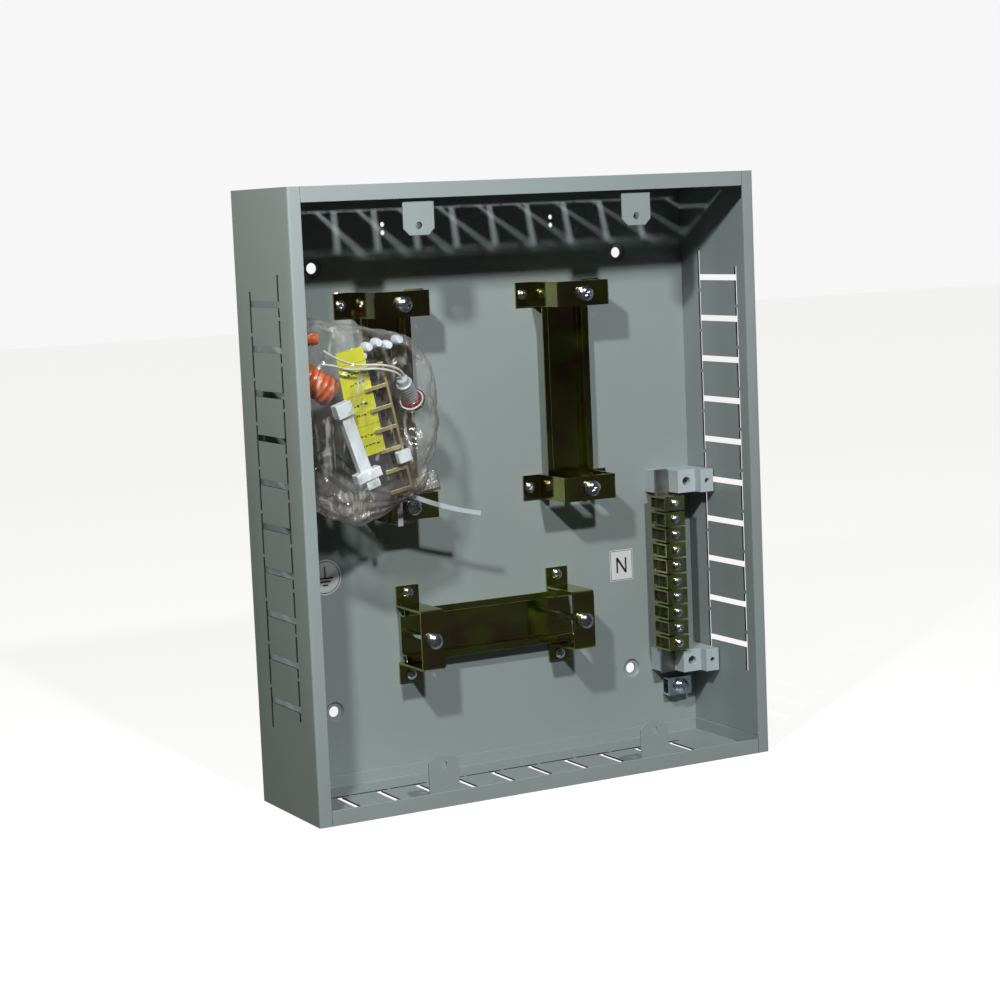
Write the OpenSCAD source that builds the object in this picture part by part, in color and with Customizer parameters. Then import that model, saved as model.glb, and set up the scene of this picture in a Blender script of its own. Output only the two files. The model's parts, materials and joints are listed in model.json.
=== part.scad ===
// Subpanel enclosure: an open, wall-mounted sheet steel box with three
// depth-adjustable mounting rails, a neutral bar, an earth clamp and a tied
// bag of loose accessories.
// Frame: X to the right seen from the front, the open front faces -Y, +Z up.
// The origin is the centre of the box's footprint, at its bottom.

/* [Box] */
// Outer width of the box
body_w = 330; // [300:1:420]
// Outer height of the box
body_h = 387; // [345:1:480]
// Depth from the front lips to the back sheet
body_d = 88.5; // [86:0.5:120]
// Thickness of the steel sheet
sheet_t = 1.2; // [0.8:0.1:1.6]
// Width of the front lips along the two sides
side_lip = 8.2; // [6:0.1:12]
// Width of the front lips along the top and the bottom
end_lip = 9.6; // [7:0.1:14]
// Height of the flanges that weld the end caps to the walls
weld_flange = 9; // [6:0.5:12]
// Gap between an end cap's lip and the side lips
seam = 0.3; // [0.1:0.05:0.6]

/* [Knockouts] */
// Least distance from the first cut to the end of a side wall
side_margin = 50; // [30:1:60]
// Least distance from the first cut to the end of an end cap
end_margin = 24; // [18:1:40]
// Distance between the cuts on the side walls
side_pitch = 27.5; // [24:0.1:30]
// Distance between the cuts on the end caps
end_pitch = 27.7; // [22:0.1:29]
// Width of the cuts that cross the wall
rung_w = 4; // [2:0.1:5]
// Width of the cuts that run along the wall
stile_w = 2.4; // [1.5:0.1:3]
// Distance between the two lines of long cuts
stile_gap = 44; // [36:1:50]
// Distance from the front to the first line of cuts on the side walls
side_stile_in = 21.5; // [18:0.5:26]
// Distance from the front to the first line of cuts on the end caps
end_stile_in = 18; // [17:0.5:24]
// Metal left between two long cuts
nib = 2; // [1:0.1:4]
// Reach of each long cut past its cross cut on the short side
short_arm = 7.5; // [5:0.5:12]

/* [Wall fixing] */
// Distance of the wall fixing holes from the side walls
fix_in = 51.3; // [20:0.1:53]
// Distance of the wall fixing holes from the ends of the box
fix_up = 50.5; // [35:0.1:60]
// Diameter of the wall fixing holes
fix_d = 7; // [5:0.1:8]
// Diameter of the round dimple pressed around each wall fixing hole
dimple_d = 13; // [11:0.5:16]
// Depth of the dimples, which stand the back sheet off the wall
dimple_h = 1.5; // [1.2:0.1:2.5]
// Diameter of the small paired holes near the top of the back
pilot_d = 3.2; // [2:0.1:4]
// Distance of the paired holes from the middle of the box
pilot_x = 62; // [50:1:80]
// Distance between the two holes of a pair
pilot_gap = 5.3; // [4.5:0.1:8]
// Distance of the upper hole of a pair from the top of the box
pilot_drop = 24.8; // [20:0.1:40]

/* [Cover tabs] */
// Distance of each tab from the middle of the box
tab_x = 77.5; // [60:0.5:100]
// Width of a tab
tab_w = 21; // [16:0.5:28]
// Reach of a tab in from the end of the box
tab_reach = 32; // [26:0.5:36]
// Gap between the front lips and the tabs
tab_gap = 2.3; // [1:0.1:5]
// Size of the corner chamfers of a tab
tab_chamfer = 4; // [2:0.5:6]
// Distance of the cover screw hole from a tab's free end
tab_hole_in = 5.8; // [5:0.1:8]
// Diameter of the cover screw holes
tab_hole_d = 4.5; // [3:0.1:6]
// Length of the foot that welds a tab to its end cap
tab_foot = 12; // [8:0.5:13]

/* [Rails] */
// Width of a mounting rail over its flanges
rail_w = 35; // [33:0.5:38]
// Width of each of a rail's flanges
rail_flange_w = 4; // [3:0.5:6]
// Depth of the rail's section
rail_h = 7.5; // [6:0.5:8]
// Thickness of the rail
rail_t = 1; // [0.8:0.1:1.4]
// Gap between the back sheet and a rail at its rearmost
rail_gap = 3; // [2.9:0.1:4]
// How far a rail comes forward
rail_travel = 21; // [15:0.5:21.5]
// Distance of the left rail from the left wall
left_rail_in = 96.1; // [92:0.1:105]
// Distance of the right rail from the right wall
right_rail_in = 99.4; // [70:0.1:105]
// Distance of the upright rails' top brackets from the top of the box
upright_drop = 75.1; // [60:0.1:85]
// Distance of the upright rails' bottom brackets above the lower rail
upright_rise = 87.6; // [60:0.1:95]
// Sideways offset of the lower rail from the middle of the box
lower_rail_x = -1; // [-10:0.5:10]
// Height of the lower rail
lower_rail_z = 95.7; // [85:0.1:105]
// Distance between the brackets of the lower rail
lower_span = 112.4; // [90:0.1:125]
// How far a rail's ends stand inside its brackets' edges
rail_inset = 1; // [0:0.5:3]

/* [Rail brackets] */
// Width of a bracket's strip
bracket_w = 16.3; // [13:0.1:20]
// Thickness of a bracket
bracket_t = 1.5; // [1.2:0.1:2]
// Room between a rail's edge and the bracket's side
rail_side_gap = 0.6; // [0.4:0.1:1.5]
// Room between a rail at its foremost and the bridge
rail_front_gap = 3.2; // [3:0.1:5]
// Length of a bracket's foot outside the bridge
foot_l = 12.3; // [11:0.1:16]
// Distance of a foot's hole from its end
foot_hole_end = 4.8; // [4.2:0.1:7]
// Inner radius of the bends
bend_r = 0.5; // [0.3:0.1:0.8]

/* [Screws] */
// Diameter of the rail adjusting screws
adjuster_d = 5; // [4:0.5:5]
// Head diameter of the rail adjusting screws
adjuster_head_d = 10; // [8:0.5:11]
// Head height of the rail adjusting screws
adjuster_head_h = 3.6; // [3:0.1:4.5]
// Diameter of the bracket and support screws
fixing_d = 3.5; // [3:0.1:4]
// Head diameter of the bracket screws
fixing_head_d = 7; // [6:0.1:8]
// Running clearance around a screw
screw_clear = 0.08; // [0.05:0.01:0.1]

/* [Neutral bar] */
// Gap between the right wall and the bar's supports
support_wall_gap = 1; // [0.5:0.1:10]
// Width of the bar
bar_w = 10.4; // [8:0.1:13]
// Thickness of the bar
bar_t = 2.5; // [2:0.1:3]
// Height of the bar's front face off the back sheet
bar_front = 14; // [13:0.5:18]
// Height of the lower end of the bar above the bottom
bar_z = 47.2; // [46:0.1:60]
// Number of wire clamps on the bar
clamp_count = 10; // [4:1:10]
// Height of a clamp along the bar
clamp_h = 9.5; // [8:0.1:12]
// Gap between two clamps
clamp_gap = 1.2; // [0.6:0.1:3]
// How far a clamp stands out at each side of the bar
clamp_side = 2.6; // [1.6:0.1:4]
// Depth of a clamp from front to back
clamp_d = 18.7; // [15:0.1:23]
// Wall thickness of a clamp
clamp_t = 1.2; // [0.8:0.1:1.5]
// Diameter of the clamp screws
clamp_screw_d = 3.6; // [3:0.1:4.4]
// Head diameter of the clamp screws
clamp_head_d = 5.4; // [4.5:0.1:7]
// Gap between the last clamp and a support
support_gap = 1.4; // [0.6:0.1:5]
// Height of the plastic supports along the bar
support_h = 15.4; // [12:0.1:19]
// How far the bar's ends stand past the supports
bar_past = 0.6; // [0:0.1:2]
// Width of the support's lower block
block_w = 13.6; // [11:0.1:17]
// Width of the support's tall block
tower_w = 10.2; // [8:0.1:13]
// Height of the support's lower block off the back sheet
block_h = 25.7; // [21:0.1:31]
// Height of the support's tall block off the back sheet
tower_h = 33; // [27:0.1:40]
// Diameter of the screw well in the lower block
well_d = 6; // [5.8:0.1:7.2]
// Diameter of the blind hole in the tall block
tower_hole_d = 3.4; // [2:0.1:5]

/* [Earth clamp] */
// Distance of the earth clamp from the right wall
earth_in = 17.8; // [12:0.1:40]
// Height of the earth clamp
earth_z = 35.2; // [30:0.1:38]
// Width of the earth clamp
earth_w = 18; // [14:0.5:20]
// Height of the earth clamp's opening side
earth_h = 12.5; // [10:0.1:14]
// Depth of the earth clamp off the back sheet
earth_d = 9; // [8:0.1:12]
// Diameter of the earth clamp's screw
earth_screw_d = 5; // [4:0.1:6]
// Head diameter of the earth clamp's screw
earth_head_d = 10.5; // [8:0.1:12]

/* [Accessory bag] */
// Distance of the bag's middle plane off the back sheet
bag_mid = 60; // [60:0.5:64]
// Thickness of the bag's film as modelled
film_t = 0.4; // [0.3:0.1:0.6]
// Width of the cable tie
tie_w = 3.6; // [2.5:0.1:4]
// Thickness of the cable tie
tie_t = 1.2; // [0.8:0.1:1.2]
// Turn of the spare terminal strip from upright
strip_turn = 12; // [10:0.5:15]

/* [Hidden] */
$fn = 48;

// Planes of the box
front_y = -(body_d + dimple_h) / 2;
back_in = front_y + body_d - sheet_t;
inner_w = body_w - 2 * sheet_t;
wall_x = inner_w / 2;
depth_in = body_d - sheet_t;
mid_z = body_h / 2;
overcut = 1;

// Knockouts
side_count = floor((body_h - 2 * side_margin) / side_pitch);
end_count = floor((body_w - 2 * end_margin) / end_pitch);

// The six places where a bracket stands, as [x, z, turn]
left_rail_x = -wall_x + left_rail_in;
right_rail_x = wall_x - right_rail_in;
upright_low_z = lower_rail_z + upright_rise;
upright_high_z = body_h - upright_drop;
upright_span = upright_high_z - upright_low_z;
upright_rail_z = (upright_high_z + upright_low_z) / 2;
left_top = [left_rail_x, upright_high_z, 0];
left_bottom = [left_rail_x, upright_low_z, 0];
right_top = [right_rail_x, upright_high_z, 0];
right_bottom = [right_rail_x, upright_low_z, 0];
lower_left = [lower_rail_x - lower_span / 2, lower_rail_z, 90];
lower_right = [lower_rail_x + lower_span / 2, lower_rail_z, 90];
stations = [left_top, left_bottom, right_top, right_bottom, lower_left, lower_right];

// Rail brackets
bridge_w = rail_w + 2 * rail_side_gap + 2 * bracket_t;
bridge_h = rail_gap + rail_h + rail_travel + rail_front_gap + bracket_t;
bracket_l = bridge_w + 2 * foot_l;
foot_hole_in = bracket_l / 2 - foot_hole_end;

// Adjusting screws, their washers and nuts
washer_t = 1;
washer_d = adjuster_head_d;
lock_washer_t = 1.3;
lock_washer_d = adjuster_head_d - 0.8;
lock_washer_gap = 1;
head_seat = bridge_h + washer_t + lock_washer_t;
adjuster_tip = 0.6;
adjuster_hole_r = adjuster_d / 2 + screw_clear;
washer_hole_r = adjuster_d / 2 + 0.2;
nut_t = rail_gap - adjuster_tip - 0.2;
nut_d = adjuster_d + 3.5;

// Small screws
fixing_hole_r = fixing_d / 2 + screw_clear;
fixing_head_h = 2.4;
fixing_tip_out = dimple_h - 0.5;

// Neutral bar, its clamps and supports
bar_x = wall_x - support_wall_gap - tower_w - block_w - bar_w / 2;
bar_back = bar_front - bar_t;
clamp_w = bar_w + 2 * clamp_side;
clamp_pitch = clamp_h + clamp_gap;
clamps_l = clamp_count * clamp_pitch - clamp_gap;
bar_l = clamps_l + 2 * (support_gap + support_h + bar_past);
bar_clear = 0.2;
clamp_back = bar_back - bar_clear - clamp_t;
clamp_front = clamp_back + clamp_d;
first_clamp_z = bar_z + bar_l / 2 - (clamp_count - 1) * clamp_pitch / 2;
clamp_head_h = 2;
clamp_head_lift = 0.5;
clamp_tip = bar_front + 0.4;
seat_x = bar_x - bar_w / 2;
block_x = bar_x + bar_w / 2;
tower_x = block_x + block_w;
well_x = block_x + block_w / 2;
well_floor = 6;
well_head_h = 2.2;
support_bottom_z = bar_z + bar_past;
support_top_z = bar_z + bar_l - bar_past - support_h;
tower_hole_depth = 14;

// Earth clamp
earth_x = wall_x - earth_in;
earth_t = 1.5;
earth_head_h = 4;
earth_head_lift = 0.5;

// Labels
label_t = 0.2;
neutral_label_at = [wall_x - 56.7, bar_z + 75.8];
neutral_label_size = [18.2, 21.3];
earth_label_at = [-wall_x + 49, lower_rail_z + 43.2];
earth_label_r = 11.5;

// Bag: the places of its bulges as [right of the left wall, above the left
// rail's lower bracket, off the back sheet, radius]
bulges = [
    [17, 111, bag_mid, 15], [76, 98, bag_mid, 16], [86, 85, bag_mid, 17],
    [88, 55, bag_mid - 2, 18], [79, 23, bag_mid + 4, 14.5],
    [46, 8, bag_mid, 15], [20, 22, bag_mid, 17]
];
neck_r = 3;
neck_l = 14;
neck_at = [
    left_rail_in - 20.1, bracket_w / 2 + neck_r - 0.65, bridge_h + neck_r + 1.3
];
neck_root = [neck_at[0] - 6, neck_at[1] + 9.5, bag_mid - 4, 8];
tail_tips = [
    neck_at + [30, 9.5, 1.5], neck_at + [44, 7.5, 2.5], neck_at + [32, 3.5, 1.5]
];

// Cable tie: its loop around the bracket's bridge and the bag's neck
tie_x = left_rail_in - 15.1;
tie_back = bridge_h - bracket_t - 0.8;
tie_front = neck_at[2] + neck_r + 1.1;
tie_low = -bracket_w / 2 - 0.8;
tie_high = neck_at[1] + neck_r + 0.7;
tie_head = [tie_w + 1.8, 5.5, 5];
tie_tail_l = 57;
tie_tail_turn = -18.6;
tie_tail_bend = 7;
tie_tail_w = 3;

// Spare terminal strip in the bag
strip_at = [62, 60];
strip_back = bag_mid - 4;
strip_t = 9;
strip_count = 7;
strip_pitch = 13.2;
strip_first = -46;
strip_bar = [15.5, 2.4, 2.2];
strip_x = -14;
strip_w = 22;

// Pilot lamp in the bag: the middle of its bezel and the way it points
lamp_at = [90.6, 69, bag_mid - 6];
lamp_tilt = 55.8;
lamp_heading = 130.3;
lamp_tail = 25;
lead_d = 1.5;
spacer_r = 3.2;
// Route of each lamp lead as [right, up, out] in the bag's own frame
lead_low = [
    [76.7, 84.25, 68.6], [75.4, 86, 70], [72, 88.5, 71.8], [66, 90.5, 72.8],
    [58, 92, 73], [48, 92.2, 73], [38, 93, 73], [30, 95.5, 72.6], [22, 97, 72]
];
lead_high = [
    [78.6, 86.1, 68.2], [76.8, 88.3, 70], [72.5, 91, 72], [66, 93.2, 73],
    [56, 94.5, 73.2], [46, 95, 73.2], [37, 97.5, 73], [30, 101, 72.5],
    [24, 105, 71.5]
];

// A point on the smooth curve through p at stretch i and share t
function curve_at(p, i, t) =
    let (
        a = p[max(i - 1, 0)],
        b = p[i],
        c = p[i + 1],
        d = p[min(i + 2, len(p) - 1)]
    )
    0.5 * (2 * b + (c - a) * t + (2 * a - 5 * b + 4 * c - d) * t * t
        + (3 * b - a - 3 * c + d) * t * t * t);

// All the points of that curve, with n rings to a stretch
function route(p, n) = concat(
    [for (i = [0:len(p) - 2]) for (k = [0:n - 1]) curve_at(p, i, k / n)],
    [p[len(p) - 1]]
);

function unit(v) = v / norm(v);

// One ring of a tube around point i of route q
function tube_ring(q, i, r, sides) =
    let (
        along = unit(q[min(i + 1, len(q) - 1)] - q[max(i - 1, 0)]),
        side = unit(cross(along, [0, 0, 1])),
        rise = cross(side, along)
    )
    [for (k = [0:sides - 1])
        q[i] + r * (cos(360 * k / sides) * side + sin(360 * k / sides) * rise)];

// A tube of radius r along route q
module tube(q, r, sides = 8) {
    rings = len(q);
    points = [for (i = [0:rings - 1]) for (p = tube_ring(q, i, r, sides)) p];
    skin = [for (i = [0:rings - 2]) for (k = [0:sides - 1])
        [i * sides + k, i * sides + (k + 1) % sides,
            (i + 1) * sides + (k + 1) % sides, (i + 1) * sides + k]];
    start = [[for (k = [0:sides - 1]) sides - 1 - k]];
    finish = [[for (k = [0:sides - 1]) (rings - 1) * sides + k]];
    polyhedron(points, concat(skin, start, finish));
}

// Stands children on the back sheet at x, z: their own z points out of the box
module on_back(x, z, turn = 0) {
    translate([x, back_in, z]) rotate([90, 0, 0]) rotate([0, 0, turn]) children();
}

module at_station(s) {
    on_back(s[0], s[1], s[2]) children();
}

// The bag's own frame: right of the left wall, above the lower bracket, out
module in_bag() {
    on_back(-wall_x, upright_low_z) children();
}

// A quarter of a ring in the quadrant given by the signs sx and sy
module quarter_ring(r_in, r_out, sx, sy) {
    intersection() {
        difference() {
            circle(r_out);
            circle(r_in);
        }
        translate([min(0, sx * r_out), min(0, sy * r_out)]) square(r_out);
    }
}

// Section of a strip bent into a hat: feet on the line y = 0, crown above
module hat_section(total, crown, height, t, r) {
    out = r + t;
    translate([-crown / 2 + out, height - t]) square([crown - 2 * out, t]);
    for (s = [-1, 1]) {
        translate([s * (crown / 2 - out), height - out]) quarter_ring(r, out, s, 1);
        translate([s * (crown / 2 - t / 2) - t / 2, out])
            square([t, height - 2 * out]);
        translate([s * (crown / 2 + r), out]) quarter_ring(r, out, -s, -1);
        translate([s > 0 ? crown / 2 + r : -total / 2, 0])
            square([total / 2 - crown / 2 - r, t]);
    }
}

// A domed screw head with a cross recess, standing on z = 0
module cross_head(d, h, turn) {
    dome = 0.55 * h;
    big_r = (d * d / 4 + dome * dome) / (2 * dome);
    slot_w = 0.13 * d;
    slot_l = 0.56 * d;
    slot_deep = 0.6 * h;
    difference() {
        intersection() {
            cylinder(d = d, h = h);
            translate([0, 0, h - big_r]) sphere(big_r, $fn = 96);
        }
        for (a = [0, 90]) {
            rotate(turn + a)
                translate([-slot_l / 2, -slot_w / 2, h - slot_deep])
                    cube([slot_l, slot_w, h]);
        }
    }
}

// Knockout cuts: a ladder of count rungs along x, from y = 0 to the stile gap
module ladder(count, pitch) {
    long_arm = pitch - nib - short_arm;
    for (i = [0:count - 1]) {
        translate([(i - (count - 1) / 2) * pitch, 0]) {
            translate([-rung_w / 2, 0]) square([rung_w, stile_gap]);
            translate([-short_arm, -stile_w / 2])
                square([short_arm + long_arm, stile_w]);
            translate([-long_arm, stile_gap - stile_w / 2])
                square([short_arm + long_arm, stile_w]);
        }
    }
}

// ---- Box ----

module wrap_section() {
    corner = 1.4;
    difference() {
        union() {
            translate([-body_w / 2 + corner, front_y])
                square([body_w - 2 * corner, body_d]);
            translate([-body_w / 2, front_y + corner])
                square([body_w, body_d - 2 * corner]);
            for (sx = [-1, 1]) {
                for (y = [front_y + corner, front_y + body_d - corner]) {
                    translate([sx * (body_w / 2 - corner), y]) circle(corner);
                }
            }
        }
        translate([-wall_x, front_y + sheet_t]) square([inner_w, depth_in - sheet_t]);
        translate([-body_w / 2 + side_lip, front_y - overcut])
            square([body_w - 2 * side_lip, sheet_t + 2 * overcut]);
    }
}

module at_fixings() {
    for (sx = [-1, 1]) {
        for (z = [fix_up, body_h - fix_up]) {
            on_back(sx * (wall_x - fix_in), z) children();
        }
    }
}

// Knockout cuts of a side wall; the right wall's run the other way up
module side_cuts(side) {
    translate([side * (body_w / 2 - sheet_t / 2), front_y + side_stile_in, mid_z])
        rotate([0, -90, 0])
            linear_extrude(4 * sheet_t, center = true)
                mirror([side > 0 ? 1 : 0, 0])
                    ladder(side_count, side_pitch);
}

module body_shell() {
    rim = 0.6;
    color([0.60, 0.65, 0.64]) difference() {
        union() {
            linear_extrude(body_h) wrap_section();
            at_fixings()
                translate([0, 0, -sheet_t - dimple_h])
                    cylinder(d1 = dimple_d - 2 * rim, d2 = dimple_d + 2 * rim,
                        h = dimple_h + sheet_t / 2);
        }
        at_fixings() {
            translate([0, 0, -dimple_h])
                cylinder(d1 = dimple_d - 4 * rim, d2 = dimple_d, h = dimple_h);
            cylinder(d = dimple_d, h = overcut);
            translate([0, 0, -sheet_t - dimple_h - overcut])
                cylinder(d = fix_d, h = sheet_t + dimple_h + 2 * overcut);
        }
        for (side = [-1, 1]) {
            side_cuts(side);
            for (k = [0, 1]) {
                on_back(side * pilot_x, body_h - pilot_drop - k * pilot_gap)
                    translate([0, 0, -sheet_t - overcut])
                        cylinder(d = pilot_d, h = sheet_t + 2 * overcut);
            }
        }
        for (s = stations) {
            at_station(s) for (u = [-1, 1]) {
                translate([u * foot_hole_in, 0, -sheet_t - overcut])
                    cylinder(r = fixing_hole_r, h = sheet_t + 2 * overcut);
            }
        }
        for (z = [support_bottom_z, support_top_z]) {
            on_back(well_x, z + support_h / 2)
                translate([0, 0, -sheet_t - overcut])
                    cylinder(r = fixing_hole_r, h = sheet_t + 2 * overcut);
        }
    }
}

// An end cap with its plate's outer face on z = 0 and its flanges going up
module end_cap() {
    lip_w = body_w - 2 * side_lip - 2 * seam;
    flange_y = front_y + sheet_t + 2;
    difference() {
        union() {
            translate([-wall_x, front_y + sheet_t, 0])
                cube([inner_w, depth_in - sheet_t, sheet_t]);
            translate([-lip_w / 2, front_y, 0]) cube([lip_w, sheet_t, end_lip]);
            for (x = [-wall_x, wall_x - sheet_t]) {
                translate([x, flange_y, 0])
                    cube([sheet_t, back_in - flange_y, weld_flange]);
            }
            translate([-wall_x, back_in - sheet_t, 0])
                cube([inner_w, sheet_t, weld_flange]);
        }
        translate([0, front_y + end_stile_in, -overcut])
            linear_extrude(sheet_t + 2 * overcut) ladder(end_count, end_pitch);
    }
}

module top_cap() {
    color([0.60, 0.65, 0.64]) translate([0, 0, body_h]) mirror([0, 0, 1]) end_cap();
}

module bottom_cap() {
    color([0.60, 0.65, 0.64]) end_cap();
}

// A tab standing on the bottom cap at x
module cover_tab(x) {
    rise = tab_reach - sheet_t;
    tab_y = front_y + sheet_t + tab_gap;
    color([0.62, 0.67, 0.66]) translate([x, tab_y, sheet_t]) {
        difference() {
            translate([0, sheet_t, 0]) rotate([90, 0, 0]) linear_extrude(sheet_t)
                polygon([
                    [-tab_w / 2, 0], [tab_w / 2, 0],
                    [tab_w / 2, rise - tab_chamfer],
                    [tab_w / 2 - tab_chamfer, rise],
                    [tab_chamfer - tab_w / 2, rise],
                    [-tab_w / 2, rise - tab_chamfer]
                ]);
            translate([0, sheet_t + overcut, rise - tab_hole_in])
                rotate([90, 0, 0])
                    cylinder(d = tab_hole_d, h = sheet_t + 2 * overcut);
        }
        translate([-tab_w / 2, sheet_t, 0]) cube([tab_w, tab_foot - sheet_t, sheet_t]);
    }
}

module top_cover_tab(x) {
    translate([0, 0, body_h]) mirror([0, 0, 1]) cover_tab(x);
}

// ---- Rails, their brackets and their adjusting screws ----

module rail(x, z, turn, span) {
    rail_l = span + bracket_w - 2 * rail_inset;
    color([0.36, 0.33, 0.13]) on_back(x, z, turn) difference() {
        translate([0, 0, rail_gap + rail_h])
            rotate([-90, 0, 0])
                linear_extrude(rail_l, center = true)
                    hat_section(rail_w, rail_w - 2 * rail_flange_w, rail_h, rail_t, bend_r);
        for (s = [-1, 1]) {
            translate([0, s * span / 2, 0]) cylinder(r = adjuster_hole_r, h = rail_gap
                + rail_t + overcut);
        }
    }
}

module rail_nuts(x, z, turn, span) {
    color([0.75, 0.76, 0.78]) on_back(x, z, turn) for (s = [-1, 1]) {
        translate([0, s * span / 2, rail_gap - nut_t]) difference() {
            cylinder(d = nut_d, h = nut_t);
            translate([0, 0, -overcut])
                cylinder(r = adjuster_hole_r, h = nut_t + 2 * overcut);
        }
    }
}

module bracket(s) {
    color([0.42, 0.40, 0.10]) at_station(s) difference() {
        rotate([90, 0, 0])
            linear_extrude(bracket_w, center = true)
                hat_section(bracket_l, bridge_w, bridge_h, bracket_t, bend_r);
        for (u = [-1, 1]) {
            translate([u * foot_hole_in, 0, -overcut])
                cylinder(r = fixing_hole_r + 0.1, h = bracket_t + 2 * overcut);
        }
        translate([0, 0, bridge_h - bracket_t - overcut])
            cylinder(r = adjuster_hole_r + 0.1, h = bracket_t + 2 * overcut);
    }
}

module adjusting_screw(s, turn) {
    color([0.80, 0.82, 0.85]) at_station(s) {
        translate([0, 0, adjuster_tip])
            cylinder(d = adjuster_d, h = head_seat - adjuster_tip);
        translate([0, 0, head_seat])
            cross_head(adjuster_head_d, adjuster_head_h, turn);
    }
}

module adjuster_washers() {
    color([0.80, 0.82, 0.85]) for (s = stations) {
        at_station(s) translate([0, 0, bridge_h]) difference() {
            cylinder(d = washer_d, h = washer_t);
            translate([0, 0, -overcut])
                cylinder(r = washer_hole_r, h = washer_t + 2 * overcut);
        }
    }
}

module adjuster_lock_washers() {
    color([0.70, 0.72, 0.75]) for (s = stations) {
        at_station(s) translate([0, 0, bridge_h + washer_t]) difference() {
            cylinder(d = lock_washer_d, h = lock_washer_t);
            translate([0, 0, -overcut])
                cylinder(r = washer_hole_r, h = lock_washer_t + 2 * overcut);
            translate([0, -lock_washer_gap / 2, -overcut])
                cube([lock_washer_d, lock_washer_gap, lock_washer_t + 2 * overcut]);
        }
    }
}

module bracket_foot_screws() {
    color([0.80, 0.82, 0.85]) for (i = [0:len(stations) - 1]) {
        at_station(stations[i]) for (u = [-1, 1]) {
            translate([u * foot_hole_in, 0, 0]) {
                translate([0, 0, -sheet_t - fixing_tip_out])
                    cylinder(d = fixing_d, h = sheet_t + fixing_tip_out + bracket_t);
                translate([0, 0, bracket_t])
                    cross_head(fixing_head_d, fixing_head_h, 25 * i + 40 * u);
            }
        }
    }
}

// ---- Neutral bar ----

module neutral_bar() {
    color([0.55, 0.56, 0.55]) on_back(bar_x, bar_z)
        translate([-bar_w / 2, 0, bar_back]) cube([bar_w, bar_l, bar_t]);
}

module neutral_support(z) {
    color([0.93, 0.94, 0.95]) on_back(0, z) difference() {
        union() {
            translate([seat_x, 0, 0]) cube([bar_w, support_h, bar_back]);
            translate([block_x, 0, 0]) cube([block_w, support_h, block_h]);
            translate([tower_x, 0, 0]) cube([tower_w, support_h, tower_h]);
        }
        translate([well_x, support_h / 2, well_floor]) cylinder(d = well_d, h = block_h);
        translate([well_x, support_h / 2, -overcut])
            cylinder(r = fixing_hole_r + 0.1, h = block_h);
        translate([tower_x + tower_w / 2, support_h / 2, tower_h - tower_hole_depth])
            cylinder(d = tower_hole_d, h = tower_h);
    }
}

module neutral_support_screws() {
    color([0.80, 0.82, 0.85]) for (z = [support_bottom_z, support_top_z]) {
        on_back(well_x, z + support_h / 2) {
            translate([0, 0, -sheet_t - fixing_tip_out])
                cylinder(d = fixing_d, h = sheet_t + fixing_tip_out + well_floor);
            translate([0, 0, well_floor]) cross_head(well_d - 0.4, well_head_h, 20);
        }
    }
}

// A wire clamp around the bar, open to the left and the right
module wire_clamp() {
    difference() {
        translate([-clamp_w / 2, -clamp_h / 2, clamp_back])
            cube([clamp_w, clamp_h, clamp_d]);
        translate([-clamp_w, -clamp_h / 2 + clamp_t, clamp_back + clamp_t])
            cube([2 * clamp_w, clamp_h - 2 * clamp_t, clamp_d - 2 * clamp_t]);
        translate([-bar_w / 2 - bar_clear, -clamp_h, bar_back - bar_clear])
            cube([bar_w + 2 * bar_clear, 2 * clamp_h, bar_t + 2 * bar_clear]);
        translate([0, 0, clamp_front - clamp_t - overcut])
            cylinder(d = clamp_screw_d + 2 * screw_clear, h = clamp_t + 2 * overcut);
    }
}

module neutral_clamps() {
    color([0.62, 0.63, 0.30]) for (i = [0:clamp_count - 1]) {
        on_back(bar_x, first_clamp_z + i * clamp_pitch) wire_clamp();
    }
}

// Clamp screw i, counted from the top of the bar
module neutral_screw(i) {
    if (i <= clamp_count) {
        color([0.75, 0.78, 0.80])
            on_back(bar_x, first_clamp_z + (clamp_count - i) * clamp_pitch) {
                translate([0, 0, clamp_tip])
                    cylinder(d = clamp_screw_d,
                        h = clamp_front + clamp_head_lift - clamp_tip);
                translate([0, 0, clamp_front + clamp_head_lift])
                    cross_head(clamp_head_d, clamp_head_h, 35 * i);
            }
    }
}

// ---- Earth clamp ----

module earth_clamp() {
    color([0.62, 0.70, 0.76]) on_back(earth_x, earth_z) difference() {
        translate([-earth_w / 2, -earth_h / 2, 0]) cube([earth_w, earth_h, earth_d]);
        translate([-earth_w, -earth_h / 2 + earth_t, earth_t])
            cube([2 * earth_w, earth_h - 2 * earth_t, earth_d - 2 * earth_t]);
        translate([0, 0, earth_d - earth_t - overcut])
            cylinder(d = earth_screw_d + 2 * screw_clear, h = earth_t + 2 * overcut);
    }
}

module earth_clamp_screw() {
    color([0.70, 0.76, 0.80]) on_back(earth_x, earth_z) {
        translate([0, 0, earth_t + 0.4])
            cylinder(d = earth_screw_d, h = earth_d + earth_head_lift - earth_t - 0.4);
        translate([0, 0, earth_d + earth_head_lift])
            cross_head(earth_head_d, earth_head_h, 15);
    }
}

// ---- Labels ----

module neutral_label() {
    color([0.88, 0.90, 0.90]) on_back(neutral_label_at[0], neutral_label_at[1])
        translate([-neutral_label_size[0] / 2, -neutral_label_size[1] / 2, 0])
            cube([neutral_label_size[0], neutral_label_size[1], label_t]);
}

module earth_label() {
    color([0.88, 0.90, 0.90]) on_back(earth_label_at[0], earth_label_at[1])
        cylinder(r = earth_label_r, h = label_t);
}

// ---- Accessory bag ----

module bag_body(shrink) {
    hull() for (b = bulges) {
        translate([b[0], b[1], b[2]]) sphere(b[3] - shrink, $fn = 28);
    }
}

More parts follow.
